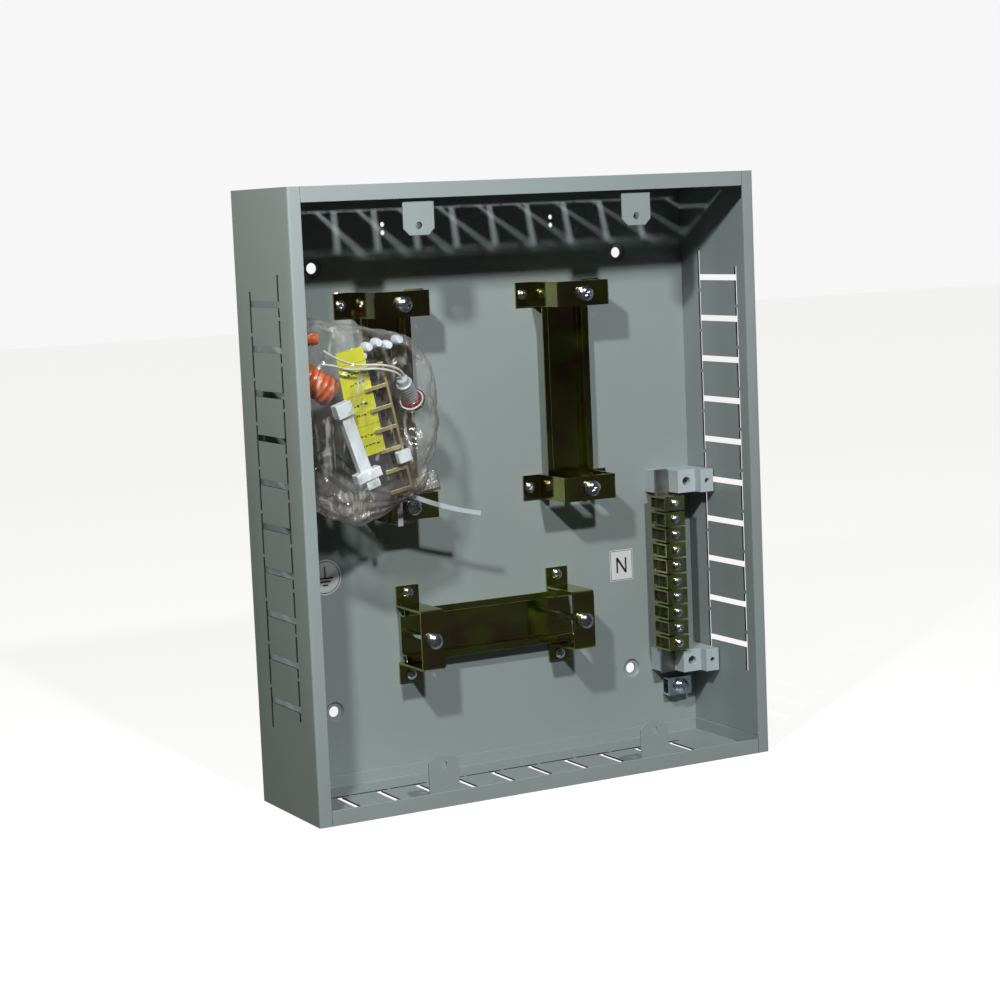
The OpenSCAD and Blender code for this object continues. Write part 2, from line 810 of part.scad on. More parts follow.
module accessory_bag() {
    color([0.80, 0.80, 0.78]) in_bag() {
        difference() {
            union() {
                bag_body(0);
                hull() {
                    translate([neck_root[0], neck_root[1], neck_root[2]])
                        sphere(neck_root[3], $fn = 24);
                    translate(neck_at) sphere(neck_r, $fn = 24);
                }
            }
            bag_body(film_t);
        }
        hull() {
            translate(neck_at) sphere(neck_r, $fn = 24);
            translate([neck_at[0] + neck_l, neck_at[1], neck_at[2]])
                sphere(neck_r * 0.7, $fn = 24);
        }
        hull() {
            translate([neck_at[0] + neck_l, neck_at[1], neck_at[2]])
                sphere(neck_r * 0.7, $fn = 24);
            for (p = tail_tips) {
                translate(p) sphere(0.6, $fn = 12);
            }
        }
    }
}

module bag_tie() {
    deep = tie_front - tie_back;
    high = tie_high - tie_low;
    color([0.92, 0.93, 0.92]) in_bag() {
        translate([tie_x + tie_w, tie_low, tie_back]) rotate([0, -90, 0])
            linear_extrude(tie_w) difference() {
                translate([-tie_t, -tie_t]) square([deep + 2 * tie_t, high + 2 * tie_t]);
                square([deep, high]);
            }
        translate([tie_x - 0.9, tie_high - tie_head[1], tie_front + tie_t])
            cube(tie_head);
        translate([tie_x + tie_head[0] - 1.9, tie_high - tie_head[1] / 2 - 0.3,
            tie_front + tie_t + 2])
            tie_tail();
    }
}

// The tie's free end, which starts steeply and levels out
module tie_tail() {
    bend = tie_tail_l / (2 * tie_tail_bend * PI / 180);
    rotate([0, 0, tie_tail_turn - tie_tail_bend]) translate([0, bend, 0])
        linear_extrude(tie_t) intersection() {
            difference() {
                circle(bend + tie_tail_w / 2, $fn = 360);
                circle(bend - tie_tail_w / 2, $fn = 360);
            }
            polygon([
                [0, 0], [0, -2 * bend],
                [2 * bend * sin(2 * tie_tail_bend), -2 * bend * cos(2 * tie_tail_bend)]
            ]);
        }
}

// Stands children in the bag with their z along the pilot lamp, tail upwards
module on_lamp() {
    translate(lamp_at) rotate([0, lamp_tilt, lamp_heading]) children();
}

module lamp_bezel() {
    color([0.85, 0.86, 0.88]) in_bag() on_lamp() difference() {
        translate([0, 0, -1.5]) cylinder(r1 = 8, r2 = 8.8, h = 3);
        translate([0, 0, -2]) cylinder(r = 6.7, h = 5);
    }
}

module lamp_lens() {
    color([0.50, 0.06, 0.08]) in_bag() on_lamp() {
        translate([0, 0, -3.5]) cylinder(r = 6.6, h = 7.5);
    }
}

module lamp_body() {
    color([0.78, 0.80, 0.82]) in_bag() on_lamp() {
        translate([0, 0, 4]) cylinder(r = 5.2, h = 16);
        translate([0, 0, 20]) cylinder(r = 3.8, h = lamp_tail - 20);
    }
}

module lamp_leads() {
    color([0.90, 0.90, 0.88]) in_bag() {
        tube(route(lead_low, 4), lead_d / 2);
        tube(route(lead_high, 4), lead_d / 2);
    }
}

// Stands children in the bag on the spare strip's own axes
module on_strip() {
    translate([strip_at[0], strip_at[1], strip_back]) rotate([0, 0, strip_turn])
        children();
}

module strip_block() {
    foot = strip_first - 3;
    head = strip_first + (strip_count - 1) * strip_pitch + 3;
    color([0.20, 0.20, 0.21]) in_bag() on_strip() difference() {
        translate([strip_x, foot, 0]) cube([strip_w, head - foot, strip_t]);
        for (i = [0:strip_count - 2]) {
            translate([strip_x + strip_w - 6, strip_first + i * strip_pitch + 3, 2])
                cube([7, strip_pitch - 6, strip_t]);
        }
    }
}

module strip_comb() {
    spine_l = (strip_count - 1) * strip_pitch + strip_bar[1];
    spine_x = strip_x + strip_w + 1;
    color([0.62, 0.52, 0.25]) in_bag() on_strip() {
        for (i = [0:strip_count - 1]) {
            translate([spine_x + 1.6 - strip_bar[0],
                strip_first + i * strip_pitch - strip_bar[1] / 2, strip_t + 0.4])
                cube(strip_bar);
        }
        translate([spine_x, strip_first - strip_bar[1] / 2, 3])
            cube([1.6, spine_l, strip_t - 3 + 0.4 + strip_bar[2]]);
    }
}

module strip_label() {
    color([0.85, 0.86, 0.10]) in_bag() on_strip()
        translate([strip_x, 0, strip_t]) linear_extrude(0.25)
            polygon([[-8, -19.5], [13.6, -19.5], [14.8, 47], [-4, 47]]);
}

module spare_supports() {
    color([0.90, 0.92, 0.93]) in_bag() {
        translate([43, 47, bag_mid + 6]) rotate([0, 0, 18]) {
            translate([-4, -18, 0]) cube([8, 36, 6]);
            translate([-6, 18, 0]) cube([11, 9, 8]);
            translate([-8, -24, 0]) cube([17, 6, 8]);
            translate([-3, -30, 1]) cube([9, 6, 6]);
        }
        translate([71.5, 32, bag_mid + 8.5]) rotate([0, 0, 15]) cube([9, 7.5, 4.5]);
    }
}

module spare_spacers() {
    spots = [[54.3, 99.4], [58.6, 104.7], [65.2, 106.9], [72, 105.2], [79.6, 108]];
    color([0.92, 0.94, 0.95]) in_bag() for (p = spots) {
        translate([p[0], p[1], bag_mid - 4]) {
            cylinder(r = spacer_r, h = 4);
            translate([0, 0, 4]) cylinder(r1 = spacer_r, r2 = 0.7 * spacer_r, h = 4);
        }
    }
}

// A tapered ribbed plug along z
module plug(l, r1, r2, ribs) {
    cylinder(r1 = r1, r2 = r2, h = l);
    for (k = [1:ribs]) {
        translate([0, 0, k * l / (ribs + 1) - 0.5])
            cylinder(r = r1 + (r2 - r1) * k / (ribs + 1) + 0.6, h = 1);
    }
}

module wall_plugs() {
    color([0.80, 0.25, 0.08]) in_bag() {
        translate([9, 95, bag_mid + 2]) rotate([0, 90, -37]) plug(28, 7, 9, 4);
        translate([11, 112, bag_mid]) rotate([0, 90, 0]) plug(14, 3, 3.8, 3);
    }
}

// Outer shape of a hank of green and yellow earth lead
module earth_lead() {
    run = 36;
    r = 8.3;
    color([0.10, 0.22, 0.15]) in_bag()
        translate([33, 33, bag_mid - 5]) rotate([0, 0, -41]) linear_extrude(10) {
            translate([-run / 2, -r]) square([run, 2 * r]);
            for (s = [-1, 1]) {
                translate([s * run / 2, 0]) circle(r);
            }
        }
}

body_shell();
top_cap();
bottom_cap();
top_cover_tab(-tab_x);  // cover_tab_top_left
top_cover_tab(tab_x);  // cover_tab_top_right
cover_tab(-tab_x);  // cover_tab_bottom_left
cover_tab(tab_x);  // cover_tab_bottom_right
rail(left_rail_x, upright_rail_z, 0, upright_span);  // rail_left
rail_nuts(left_rail_x, upright_rail_z, 0, upright_span);  // rail_left_nuts
bracket(left_top);  // bracket_left_top
bracket(left_bottom);  // bracket_left_bottom
adjusting_screw(left_top, 20);  // screw_left_top
adjusting_screw(left_bottom, 65);  // screw_left_bottom
rail(right_rail_x, upright_rail_z, 0, upright_span);  // rail_right
rail_nuts(right_rail_x, upright_rail_z, 0, upright_span);  // rail_right_nuts
bracket(right_top);  // bracket_right_top
bracket(right_bottom);  // bracket_right_bottom
adjusting_screw(right_top, 42);  // screw_right_top
adjusting_screw(right_bottom, 38);  // screw_right_bottom
rail(lower_rail_x, lower_rail_z, 90, lower_span);  // rail_lower
rail_nuts(lower_rail_x, lower_rail_z, 90, lower_span);  // rail_lower_nuts
bracket(lower_left);  // bracket_lower_left
bracket(lower_right);  // bracket_lower_right
adjusting_screw(lower_left, 10);  // screw_lower_left
adjusting_screw(lower_right, 75);  // screw_lower_right
adjuster_washers();
adjuster_lock_washers();
bracket_foot_screws();
neutral_bar();
neutral_support(support_top_z);  // neutral_support_top
neutral_support(support_bottom_z);  // neutral_support_bottom
neutral_support_screws();
neutral_clamps();
neutral_screw(1);  // neutral_screw_1
neutral_screw(2);  // neutral_screw_2
neutral_screw(3);  // neutral_screw_3
neutral_screw(4);  // neutral_screw_4
neutral_screw(5);  // neutral_screw_5
neutral_screw(6);  // neutral_screw_6
neutral_screw(7);  // neutral_screw_7
neutral_screw(8);  // neutral_screw_8
neutral_screw(9);  // neutral_screw_9
neutral_screw(10);  // neutral_screw_10
earth_clamp();
earth_clamp_screw();
neutral_label();
earth_label();
accessory_bag();
bag_tie();
lamp_bezel();
lamp_body();
lamp_lens();
lamp_leads();
strip_block();
strip_comb();
strip_label();
spare_supports();
spare_spacers();
wall_plugs();
earth_lead();
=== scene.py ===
"""Looks of the subpanel enclosure: paint, plated fittings, plastic parts and a bag of spares."""

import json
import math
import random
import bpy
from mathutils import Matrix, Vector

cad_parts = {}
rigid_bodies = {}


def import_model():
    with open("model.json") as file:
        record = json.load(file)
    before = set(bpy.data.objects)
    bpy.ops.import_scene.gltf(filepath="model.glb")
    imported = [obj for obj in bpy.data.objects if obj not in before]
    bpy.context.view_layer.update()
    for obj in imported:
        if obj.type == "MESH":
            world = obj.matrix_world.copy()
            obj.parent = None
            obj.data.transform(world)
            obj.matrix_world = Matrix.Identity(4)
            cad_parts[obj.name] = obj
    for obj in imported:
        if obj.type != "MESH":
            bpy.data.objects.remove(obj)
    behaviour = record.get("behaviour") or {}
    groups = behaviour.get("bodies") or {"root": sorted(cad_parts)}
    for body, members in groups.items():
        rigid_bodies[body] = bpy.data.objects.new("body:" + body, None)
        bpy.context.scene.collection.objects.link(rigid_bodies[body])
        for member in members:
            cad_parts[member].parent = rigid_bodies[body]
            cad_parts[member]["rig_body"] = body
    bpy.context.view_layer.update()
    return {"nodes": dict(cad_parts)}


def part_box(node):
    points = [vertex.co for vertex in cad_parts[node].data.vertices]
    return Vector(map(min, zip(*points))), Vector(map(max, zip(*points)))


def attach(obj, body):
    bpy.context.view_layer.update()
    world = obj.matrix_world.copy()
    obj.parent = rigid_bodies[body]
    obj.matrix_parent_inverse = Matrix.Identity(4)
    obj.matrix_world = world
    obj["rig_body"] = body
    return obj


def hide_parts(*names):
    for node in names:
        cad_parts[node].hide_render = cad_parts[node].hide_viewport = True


bl_info = {
    "name": "Subpanel Enclosure",
    "version": (1, 0, 0),
    "blender": (4, 5, 0),
    "location": "View3D > Sidebar > Enclosure",
    "description": "Builds a wall enclosure with rails, a neutral bar and a bag of fittings",
    "category": "Object",
}

import bmesh
import bpy
from bpy.props import FloatProperty, FloatVectorProperty, IntProperty, PointerProperty
from mathutils import Matrix, Vector, noise

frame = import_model()

MM = 0.001
SHELL_LOW, SHELL_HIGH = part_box("body_shell")
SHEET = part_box("cover_tab_bottom_left")[0].z - SHELL_LOW.z  # thickness of the box's sheet
BACK_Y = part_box("earth_label")[1].y  # front face of the back sheet
LEFT_WALL = SHELL_LOW.x + SHEET
BAG_Z = sum(corner.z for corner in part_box("bracket_left_bottom")) / 2
SHARP = math.radians(32)  # faces that meet at more than this have an edge between them


# ---------------------------------------------------------------- sizes and colours


def colour(name, description, default):
    return FloatVectorProperty(
        name=name, description=description, subtype="COLOR", size=3,
        min=0.0, max=1.0, default=default,
    )


def length(name, description, default):
    return FloatProperty(
        name=name, description=description, subtype="DISTANCE", unit="LENGTH",
        min=0.0, default=default, precision=5,
    )


class EnclosureBoxSettings(bpy.types.PropertyGroup):
    paint: colour("Paint", "Powder coat of the box", (0.215, 0.255, 0.250))
    edge: length("Edge", "Rounding of the sheet's edges", 0.25 * MM)
    grain: length("Grain", "Size of the powder coat's texture", 0.9 * MM)


class EnclosureMetalSettings(bpy.types.PropertyGroup):
    olive: colour("Olive", "Yellow chromate seen straight on", (0.42, 0.49, 0.14))
    bronze: colour("Bronze", "Yellow chromate where it turns brown", (0.33, 0.25, 0.14))
    clamp_green: colour("Clamp green", "Green half of the clamps", (0.40, 0.50, 0.13))
    clamp_pink: colour("Clamp pink", "Pink half of the clamps", (0.46, 0.35, 0.24))
    zinc: colour("Zinc", "Bright zinc of the screws", (0.72, 0.74, 0.77))
    blue_zinc: colour("Blue zinc", "Zinc with a blue cast", (0.60, 0.68, 0.80))
    edge: length("Edge", "Rounding of the metal's edges", 0.15 * MM)


class EnclosurePlasticSettings(bpy.types.PropertyGroup):
    white: colour("White", "Supports and labels", (0.34, 0.39, 0.405))
    black: colour("Print", "Print on the labels", (0.02, 0.02, 0.022))
    yellow: colour("Yellow label", "Label on the spare strip", (0.50, 0.52, 0.012))
    orange: colour("Orange", "Wall plugs", (0.55, 0.095, 0.018))
    edge: length("Edge", "Rounding of the plastic's edges", 0.4 * MM)


class EnclosureBagSettings(bpy.types.PropertyGroup):
    film: colour("Film", "Clear film of the bag", (0.50, 0.49, 0.46))
    fold: colour("Fold", "Film where it lies in folds", (0.15, 0.13, 0.115))
    painted_crease_highlight: colour("Streak", "Light caught along the creases", (0.62, 0.64, 0.62))
    crease: length("Crease", "Depth of the large creases", 2.6 * MM)
    seed: IntProperty(name="Seed", description="Pattern of the creases", default=7)


class EnclosureStageSettings(bpy.types.PropertyGroup):
    floor: colour("Floor", "Colour of the floor", (0.20, 0.20, 0.20))
    key: FloatProperty(name="Key", description="Power of the front lamp", default=62.0)
    side: FloatProperty(name="Side", description="Power of the side lamp", default=7.4)
    fill: FloatProperty(name="Fill", description="Light from all around", default=0.05)


SETTINGS = {
    "enclosure_box": EnclosureBoxSettings,
    "enclosure_metal": EnclosureMetalSettings,
    "enclosure_plastic": EnclosurePlasticSettings,
    "enclosure_bag": EnclosureBagSettings,
    "enclosure_stage": EnclosureStageSettings,
}


def settings(name):
    return getattr(bpy.context.scene, "enclosure_" + name)


# ---------------------------------------------------------------- shader groups

NOISE_SPAN = (0.3, 0.7)  # where nearly all of a noise texture's values lie


def new_group(name, inputs, outputs):
    """A shader node group with the given (name, kind, default) inputs and (name, kind) outputs."""
    group = bpy.data.node_groups.new(name, "ShaderNodeTree")
    for label, kind, default in inputs:
        socket = group.interface.new_socket(label, in_out="INPUT", socket_type=kind)
        socket.default_value = default
    for label, kind in outputs:
        group.interface.new_socket(label, in_out="OUTPUT", socket_type=kind)
    start = group.nodes.new("NodeGroupInput")
    end = group.nodes.new("NodeGroupOutput")
    return group, start, end


def add(tree, kind, **values):
    """A new node, with its inputs or its properties set by name."""
    node = tree.nodes.new(kind)
    for key, value in values.items():
        if key in node.inputs:
            node.inputs[key].default_value = value
        else:
            setattr(node, key, value)
    return node


def rgba(value):
    return (value[0], value[1], value[2], 1.0)


def object_coordinates(tree):
    return tree.nodes.new("ShaderNodeTexCoord").outputs["Object"]


def feed(tree, socket, value):
    """Links an output to a socket, or sets the socket to a constant."""
    if isinstance(value, bpy.types.NodeSocket):
        tree.links.new(value, socket)
    else:
        socket.default_value = value


def mix_colour(tree, factor, first, second):
    node = add(tree, "ShaderNodeMix", data_type="RGBA")
    for index, value in ((0, factor), (6, first), (7, second)):
        feed(tree, node.inputs[index], value)
    return node.outputs[2]


def calculate(tree, operation, *values, clamp=False):
    """Result of a Math node."""
    node = add(tree, "ShaderNodeMath", operation=operation, use_clamp=clamp)
    for socket, value in zip(node.inputs, values):
        feed(tree, socket, value)
    return node.outputs[0]


def map_range(tree, value, low, high, to_low=0.0, to_high=1.0):
    """Value taken from the range low to high to the range to_low to to_high."""
    node = add(tree, "ShaderNodeMapRange")
    for socket, given in zip(node.inputs, (value, low, high, to_low, to_high)):
        feed(tree, socket, given)
    return node.outputs["Result"]


def axis(tree, vector, name):
    """One coordinate of a vector."""
    split = add(tree, "ShaderNodeSeparateXYZ")
    tree.links.new(vector, split.inputs[0])
    return split.outputs[name]


def noise_value(tree, place, **values):
    node = add(tree, "ShaderNodeTexNoise", **values)
    tree.links.new(place, node.inputs["Vector"])
    return node.outputs["Fac"]


def add_bump(tree, shader, height, depth):
    """Bump of the given depth in metres."""
    bump = add(tree, "ShaderNodeBump", Strength=1.0, Distance=depth)
    tree.links.new(height, bump.inputs["Height"])
    tree.links.new(bump.outputs["Normal"], shader.inputs["Normal"])


def grain_group():
    """Fine texture of a moulded, painted or plated surface, with slow blotches."""
    group, start, end = new_group(
        "fine_surface",
        [
            ("Grain Scale", "NodeSocketFloat", 1000.0),
            ("Blotch Scale", "NodeSocketFloat", 18.0),
            ("Rough Low", "NodeSocketFloat", 0.3),
            ("Rough High", "NodeSocketFloat", 0.45),
        ],
        [(label, "NodeSocketFloat") for label in ("Roughness", "Height", "Blotch")],
    )
    place = object_coordinates(group)
    grain = add(group, "ShaderNodeTexNoise", Detail=3.0, Roughness=0.6)
    blotch = add(group, "ShaderNodeTexNoise", Detail=4.0, Roughness=0.55)
    for node, key in ((grain, "Grain Scale"), (blotch, "Blotch Scale")):
        group.links.new(place, node.inputs["Vector"])
        group.links.new(start.outputs[key], node.inputs["Scale"])
    rough = map_range(
        group, blotch.outputs["Fac"], *NOISE_SPAN,
        start.outputs["Rough Low"], start.outputs["Rough High"],
    )
    group.links.new(rough, end.inputs["Roughness"])
    group.links.new(grain.outputs["Fac"], end.inputs["Height"])
    group.links.new(blotch.outputs["Fac"], end.inputs["Blotch"])
    return group


def plating_group():
    """Colour of a plating: two tints that drift into each other."""
    group, start, end = new_group(
        "plating_tints",
        [
            ("First", "NodeSocketColor", (0.3, 0.3, 0.1, 1.0)),
            ("Second", "NodeSocketColor", (0.3, 0.2, 0.1, 1.0)),
            ("Scale", "NodeSocketFloat", 30.0),
            ("Contrast", "NodeSocketFloat", 0.15),
        ],
        [("Color", "NodeSocketColor")],
    )
    drift = add(group, "ShaderNodeTexNoise", Detail=2.0, Distortion=1.2)
    group.links.new(object_coordinates(group), drift.inputs["Vector"])
    group.links.new(start.outputs["Scale"], drift.inputs["Scale"])
    low = calculate(group, "SUBTRACT", 0.5, start.outputs["Contrast"])
    high = calculate(group, "ADD", 0.5, start.outputs["Contrast"])
    share = map_range(group, drift.outputs["Fac"], low, high)
    tint = mix_colour(group, share, start.outputs["First"], start.outputs["Second"])
    group.links.new(tint, end.inputs["Color"])
    return group


def shared_group(name):
    makers = {"fine_surface": grain_group, "plating_tints": plating_group}
    return bpy.data.node_groups.get(name) or makers[name]()


# ---------------------------------------------------------------- materials

CLAMPS = sum(1 for node in frame["nodes"] if node.startswith("neutral_screw_"))
SLACK_SPAN = (BAG_Z + 34 * MM, BAG_Z - 2 * MM)  # the film gathers on the way down to its neck


def blank_material(name):
    """A material with an untouched Principled shader."""
    mat = bpy.data.materials.new(name)
    mat.use_nodes = True
    tree = mat.node_tree
    return mat, tree, tree.nodes["Principled BSDF"]


def add_group(tree, name, *values):
    """A node of a shared group with its inputs set in order."""
    node = add(tree, "ShaderNodeGroup", node_tree=shared_group(name))
    for socket, value in zip(node.inputs, values):
        socket.default_value = value
    return node


def add_surface(tree, shader, grain, blotch, rough, depth):
    """Gives a material its grain: rough is (low, high), depth is the bump's height in metres."""
    node = add_group(tree, "fine_surface", grain, blotch, *rough)
    tree.links.new(node.outputs["Roughness"], shader.inputs["Roughness"])
    add_bump(tree, shader, node.outputs["Height"], depth)
    return node


def vary_colour(tree, shader, surface, base, swing):
    """Base colour that drifts up and down by the share swing with the surface's blotches."""
    dark = rgba([c * (1 - swing) for c in base])
    light = rgba([min(1.0, c * (1 + swing)) for c in base])
    share = map_range(tree, surface.outputs["Blotch"], *NOISE_SPAN)
    tree.links.new(mix_colour(tree, share, dark, light), shader.inputs["Base Color"])


def paint_material(name):
    s = settings("box")
    mat, tree, shader = blank_material(name)
    surface = add_surface(tree, shader, 1 / s.grain, 9.0, (0.36, 0.46), 0.035 * MM)
    vary_colour(tree, shader, surface, s.paint, 0.035)
    return mat


def chosen(group, value):
    """A colour, given as itself or as the name of its setting."""
    return getattr(settings(group), value) if isinstance(value, str) else value


def plating(name, first, second, scale, contrast, rough):
    """A plated metal and the node that mixes its tints."""
    mat, tree, shader = blank_material(name)
    add_surface(tree, shader, 700.0, 60.0, rough, 0.004 * MM)
    tints = add_group(
        tree, "plating_tints", rgba(chosen("metal", first)), rgba(chosen("metal", second)),
        scale, contrast,
    )
    tree.links.new(tints.outputs["Color"], shader.inputs["Base Color"])
    shader.inputs["Metallic"].default_value = 1.0
    return mat, tree, shader, tints


def clamp_material(name):
    """Plating of the clamps, which turn from green to pink from one to the next."""
    s = settings("metal")
    mat, tree, shader, tints = plating(
        name, "clamp_green", "clamp_pink", 140.0, 0.25, (0.14, 0.26)
    )
    pitch = (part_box("neutral_screw_1")[0].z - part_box("neutral_screw_10")[0].z) / (CLAMPS - 1)
    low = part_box("neutral_clamps")[0].z - 0.05 * pitch
    up = axis(tree, object_coordinates(tree), "Z")
    steps = calculate(tree, "MULTIPLY_ADD", up, 0.5 / pitch, -0.5 * low / pitch)
    odd = calculate(tree, "GREATER_THAN", calculate(tree, "FRACT", steps), 0.5)
    share = map_range(tree, odd, 0.0, 1.0, 0.15, 0.8)
    whole = mix_colour(tree, share, rgba(s.clamp_green), rgba(s.clamp_pink))
    both = mix_colour(tree, 0.55, tints.outputs["Color"], whole)
    tree.links.new(both, shader.inputs["Base Color"])
    return mat


def plastic_material(name, base, rough=(0.25, 0.38), swing=0.03, clear=0.0):
    mat, tree, shader = blank_material(name)
    surface = add_surface(tree, shader, 900.0, 40.0, rough, 0.006 * MM)
    vary_colour(tree, shader, surface, chosen("plastic", base), swing)
    shader.inputs["Transmission Weight"].default_value = clear
    return mat


def film_material(name):
    """Clear film: thin head on, grey-brown at edges and folds, with pale streaks of painted
    highlight along creases.
    """
    s = settings("bag")
    mat, tree, shader = blank_material(name)
    place = object_coordinates(tree)
    drawn = add(
        tree, "ShaderNodeMapping", Rotation=(0.0, math.radians(-18), 0.0), Scale=(1.0, 1.0, 0.22)
    )
    tree.links.new(place, drawn.inputs["Vector"])
    stretched = drawn.outputs["Vector"]
    creases = noise_value(tree, stretched, Scale=150.0, Detail=3.0, Distortion=0.9)
    patches = noise_value(tree, place, Scale=26.0, Detail=3.0, Distortion=0.8)
    facing = add(tree, "ShaderNodeLayerWeight", Blend=0.4).outputs["Facing"]
    slack = map_range(tree, axis(tree, place, "Z"), *SLACK_SPAN, 0.0, 0.40)

    # how much the film hides: most where it is seen edge on, in creases where it carries the
    # painted highlight, and near its neck
    cover = map_range(tree, facing, 0.15, 0.9, 0.0, 0.60)
    painted_crease_highlight = map_range(tree, creases, 0.56, 0.72, 0.0, 0.45)
    patch = map_range(tree, patches, 0.47, 0.70, 0.03, 0.24)
    cover = calculate(tree, "ADD", cover, painted_crease_highlight)
    cover = calculate(tree, "ADD", cover, patch, clamp=True)
    cover = calculate(tree, "ADD", cover, slack, clamp=True)
    tree.links.new(cover, shader.inputs["Alpha"])

    # its colour: film, then darker where it lies in folds, then pale along creases as a painted
    # highlight
    folded = map_range(tree, patches, 0.40, 0.62, 0.1, 1.0)
    folded = calculate(tree, "ADD", folded, slack, clamp=True)
    body = mix_colour(tree, folded, rgba(s.film), rgba(s.fold))
    pale = map_range(tree, creases, 0.58, 0.74, 0.0, 0.8)
    tree.links.new(mix_colour(tree, pale, body, rgba(s.painted_crease_highlight)), shader.inputs["Base Color"])
    add_bump(tree, shader, creases, 1.2 * MM)
    shader.inputs["Roughness"].default_value = 0.16
    shader.inputs["Specular IOR Level"].default_value = 1.0
    shader.inputs["IOR"].default_value = 1.8
    return mat


# finish: two tints or the settings that hold them, tints per metre, contrast, roughness
PLATINGS = {
    "yellow_zinc": ("olive", "bronze", 22.0, 0.13, (0.08, 0.13)),
    "bright_zinc": ("zinc", "blue_zinc", 90.0, 0.25, (0.12, 0.20)),
    "blue_zinc": ("blue_zinc", "zinc", 110.0, 0.2, (0.14, 0.24)),
    "bar_metal": ((0.30, 0.31, 0.31), (0.42, 0.42, 0.40), 80.0, 0.2, (0.28, 0.40)),
    "chrome": ((0.80, 0.81, 0.83), (0.74, 0.75, 0.78), 60.0, 0.2, (0.03, 0.07)),
    "brass": ((0.78, 0.70, 0.36), (0.70, 0.60, 0.30), 120.0, 0.2, (0.42, 0.52)),
}

# finish: colour or the setting that holds it, roughness, drift of the colour, transmission
PLASTICS = {
    # painted shade: near-black faces inside the knockout slots, where shade falls
    "cut_edge": ((0.022, 0.024, 0.024), (0.5, 0.6)),
    "white": ("white",),
    "spare_white": ((0.62, 0.68, 0.70),),
    "spacer_nylon": ((0.62, 0.68, 0.76), (0.2, 0.3), 0.02, 0.15),
    "label": ((0.50, 0.54, 0.53), (0.35, 0.45)),
    "print": ("black", (0.4, 0.5)),
    "yellow": ("yellow", (0.35, 0.5)),
    "dark_plastic": ((0.035, 0.037, 0.04), (0.15, 0.3)),
    "nylon": ((0.46, 0.51, 0.53), (0.2, 0.35), 0.02, 0.2),
    "lamp_grey": ((0.30, 0.33, 0.36), (0.25, 0.4)),
    "seal_red": ((0.16, 0.008, 0.014), (0.15, 0.3)),
    "white_wire": ((0.50, 0.51, 0.46), (0.3, 0.42)),
    "green_wire": ((0.008, 0.030, 0.022), (0.25, 0.4), 0.15),
    "orange": ("orange", (0.3, 0.45), 0.06),
}

OTHERS = {"paint": paint_material, "film": film_material, "clamps": clamp_material}


def material(key):
    """The material of a finish, made at its first use."""
    name = "finish_" + key
    made = bpy.data.materials.get(name)
    if made is None and key in PLATINGS:
        made = plating(name, *PLATINGS[key])[0]
    elif made is None and key in PLASTICS:
        made = plastic_material(name, *PLASTICS[key])
    elif made is None:
        made = OTHERS[key](name)
    return made


# ---------------------------------------------------------------- making pieces

SPIN_STEPS = 48


def finish_piece(obj, key, slot, body, *nodes):
    """Material, finish slot (not used), the body it moves with and the nodes it stands for."""
    obj.data.materials.clear()
    obj.data.materials.append(material(key))
    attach(obj, body)
    if nodes:
        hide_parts(*nodes)
    return obj


def is_curved(face):
    """Whether a face continues a curved surface: a neighbour meets it at a small angle."""
    for edge in face.edges:
        if len(edge.link_faces) == 2:
            if math.radians(0.8) < edge.calc_face_angle(0.0) < SHARP:
                return True
    return False


def new_object(name, bm, smooth=True):
    mesh = bpy.data.meshes.new(name)
    for face in bm.faces:
        face.smooth = smooth and is_curved(face)
    bm.to_mesh(mesh)
    bm.free()
    obj = bpy.data.objects.new(name, mesh)
    bpy.context.scene.collection.objects.link(obj)
    return obj


def round_edges(obj, width, segments=2):
    bevel = obj.modifiers.new("rounded_edges", "BEVEL")
    bevel.width = width
    bevel.segments = segments
    bevel.limit_method = "ANGLE"
    bevel.angle_limit = SHARP
    bevel.miter_outer = "MITER_SHARP"


def rounded_node(node, name, key, slot, width, segments=2):
    """A copy of a node with its surfaces joined up and its edges rounded."""
    source = frame["nodes"][node]
    bm = bmesh.new()
    bm.from_mesh(source.data)
    bmesh.ops.remove_doubles(bm, verts=bm.verts, dist=0.002 * MM)
    bmesh.ops.dissolve_limit(
        bm, angle_limit=math.radians(0.4), verts=bm.verts, edges=bm.edges,
        use_dissolve_boundaries=False,
    )
    bm.normal_update()
    for edge in bm.edges:
        edge.smooth = len(edge.link_faces) == 2 and edge.calc_face_angle(0.0) < SHARP
    obj = new_object(name, bm)
    round_edges(obj, width, segments)
    return finish_piece(obj, key, slot, source["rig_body"], node)


def in_bag(x, z, out):
    """Point x right of the left wall, z above the lower left bracket's middle and out from the
    back sheet, all in millimetres."""
    return Vector((LEFT_WALL + x * MM, BACK_Y - out * MM, BAG_Z + z * MM))


def bag_direction(x, z, out):
    return Vector((x, -out, z))


def turned(x, z, degrees, centre):
    """A flat point (x, z) turned about the origin and moved by centre."""
    cos, sin = math.cos(math.radians(degrees)), math.sin(math.radians(degrees))
    return centre[0] + x * cos - z * sin, centre[1] + x * sin + z * cos


def frame_along(origin, direction):
    """Matrix that takes the z axis to direction and the origin to origin."""
    turn = direction.to_track_quat("Z", "Y").to_matrix().to_4x4()
    return Matrix.Translation(origin) @ turn


def spun(name, profile, place):
    """A solid turned from profile, a list of (radius, height) in millimetres that runs from pole
    to pole or comes back to its start."""
    bm = bmesh.new()
    verts = [bm.verts.new((r * MM, 0, h * MM)) for r, h in profile]
    for a, b in zip(verts, verts[1:]):
        bm.edges.new((a, b))
    bmesh.ops.spin(
        bm, geom=list(bm.verts) + list(bm.edges), cent=(0, 0, 0), axis=(0, 0, 1),
        angle=math.tau, steps=SPIN_STEPS, use_merge=True,
    )
    bmesh.ops.remove_doubles(bm, verts=bm.verts, dist=0.001 * MM)
    bmesh.ops.recalc_face_normals(bm, faces=bm.faces)
    bm.transform(place)
    return new_object(name, bm)


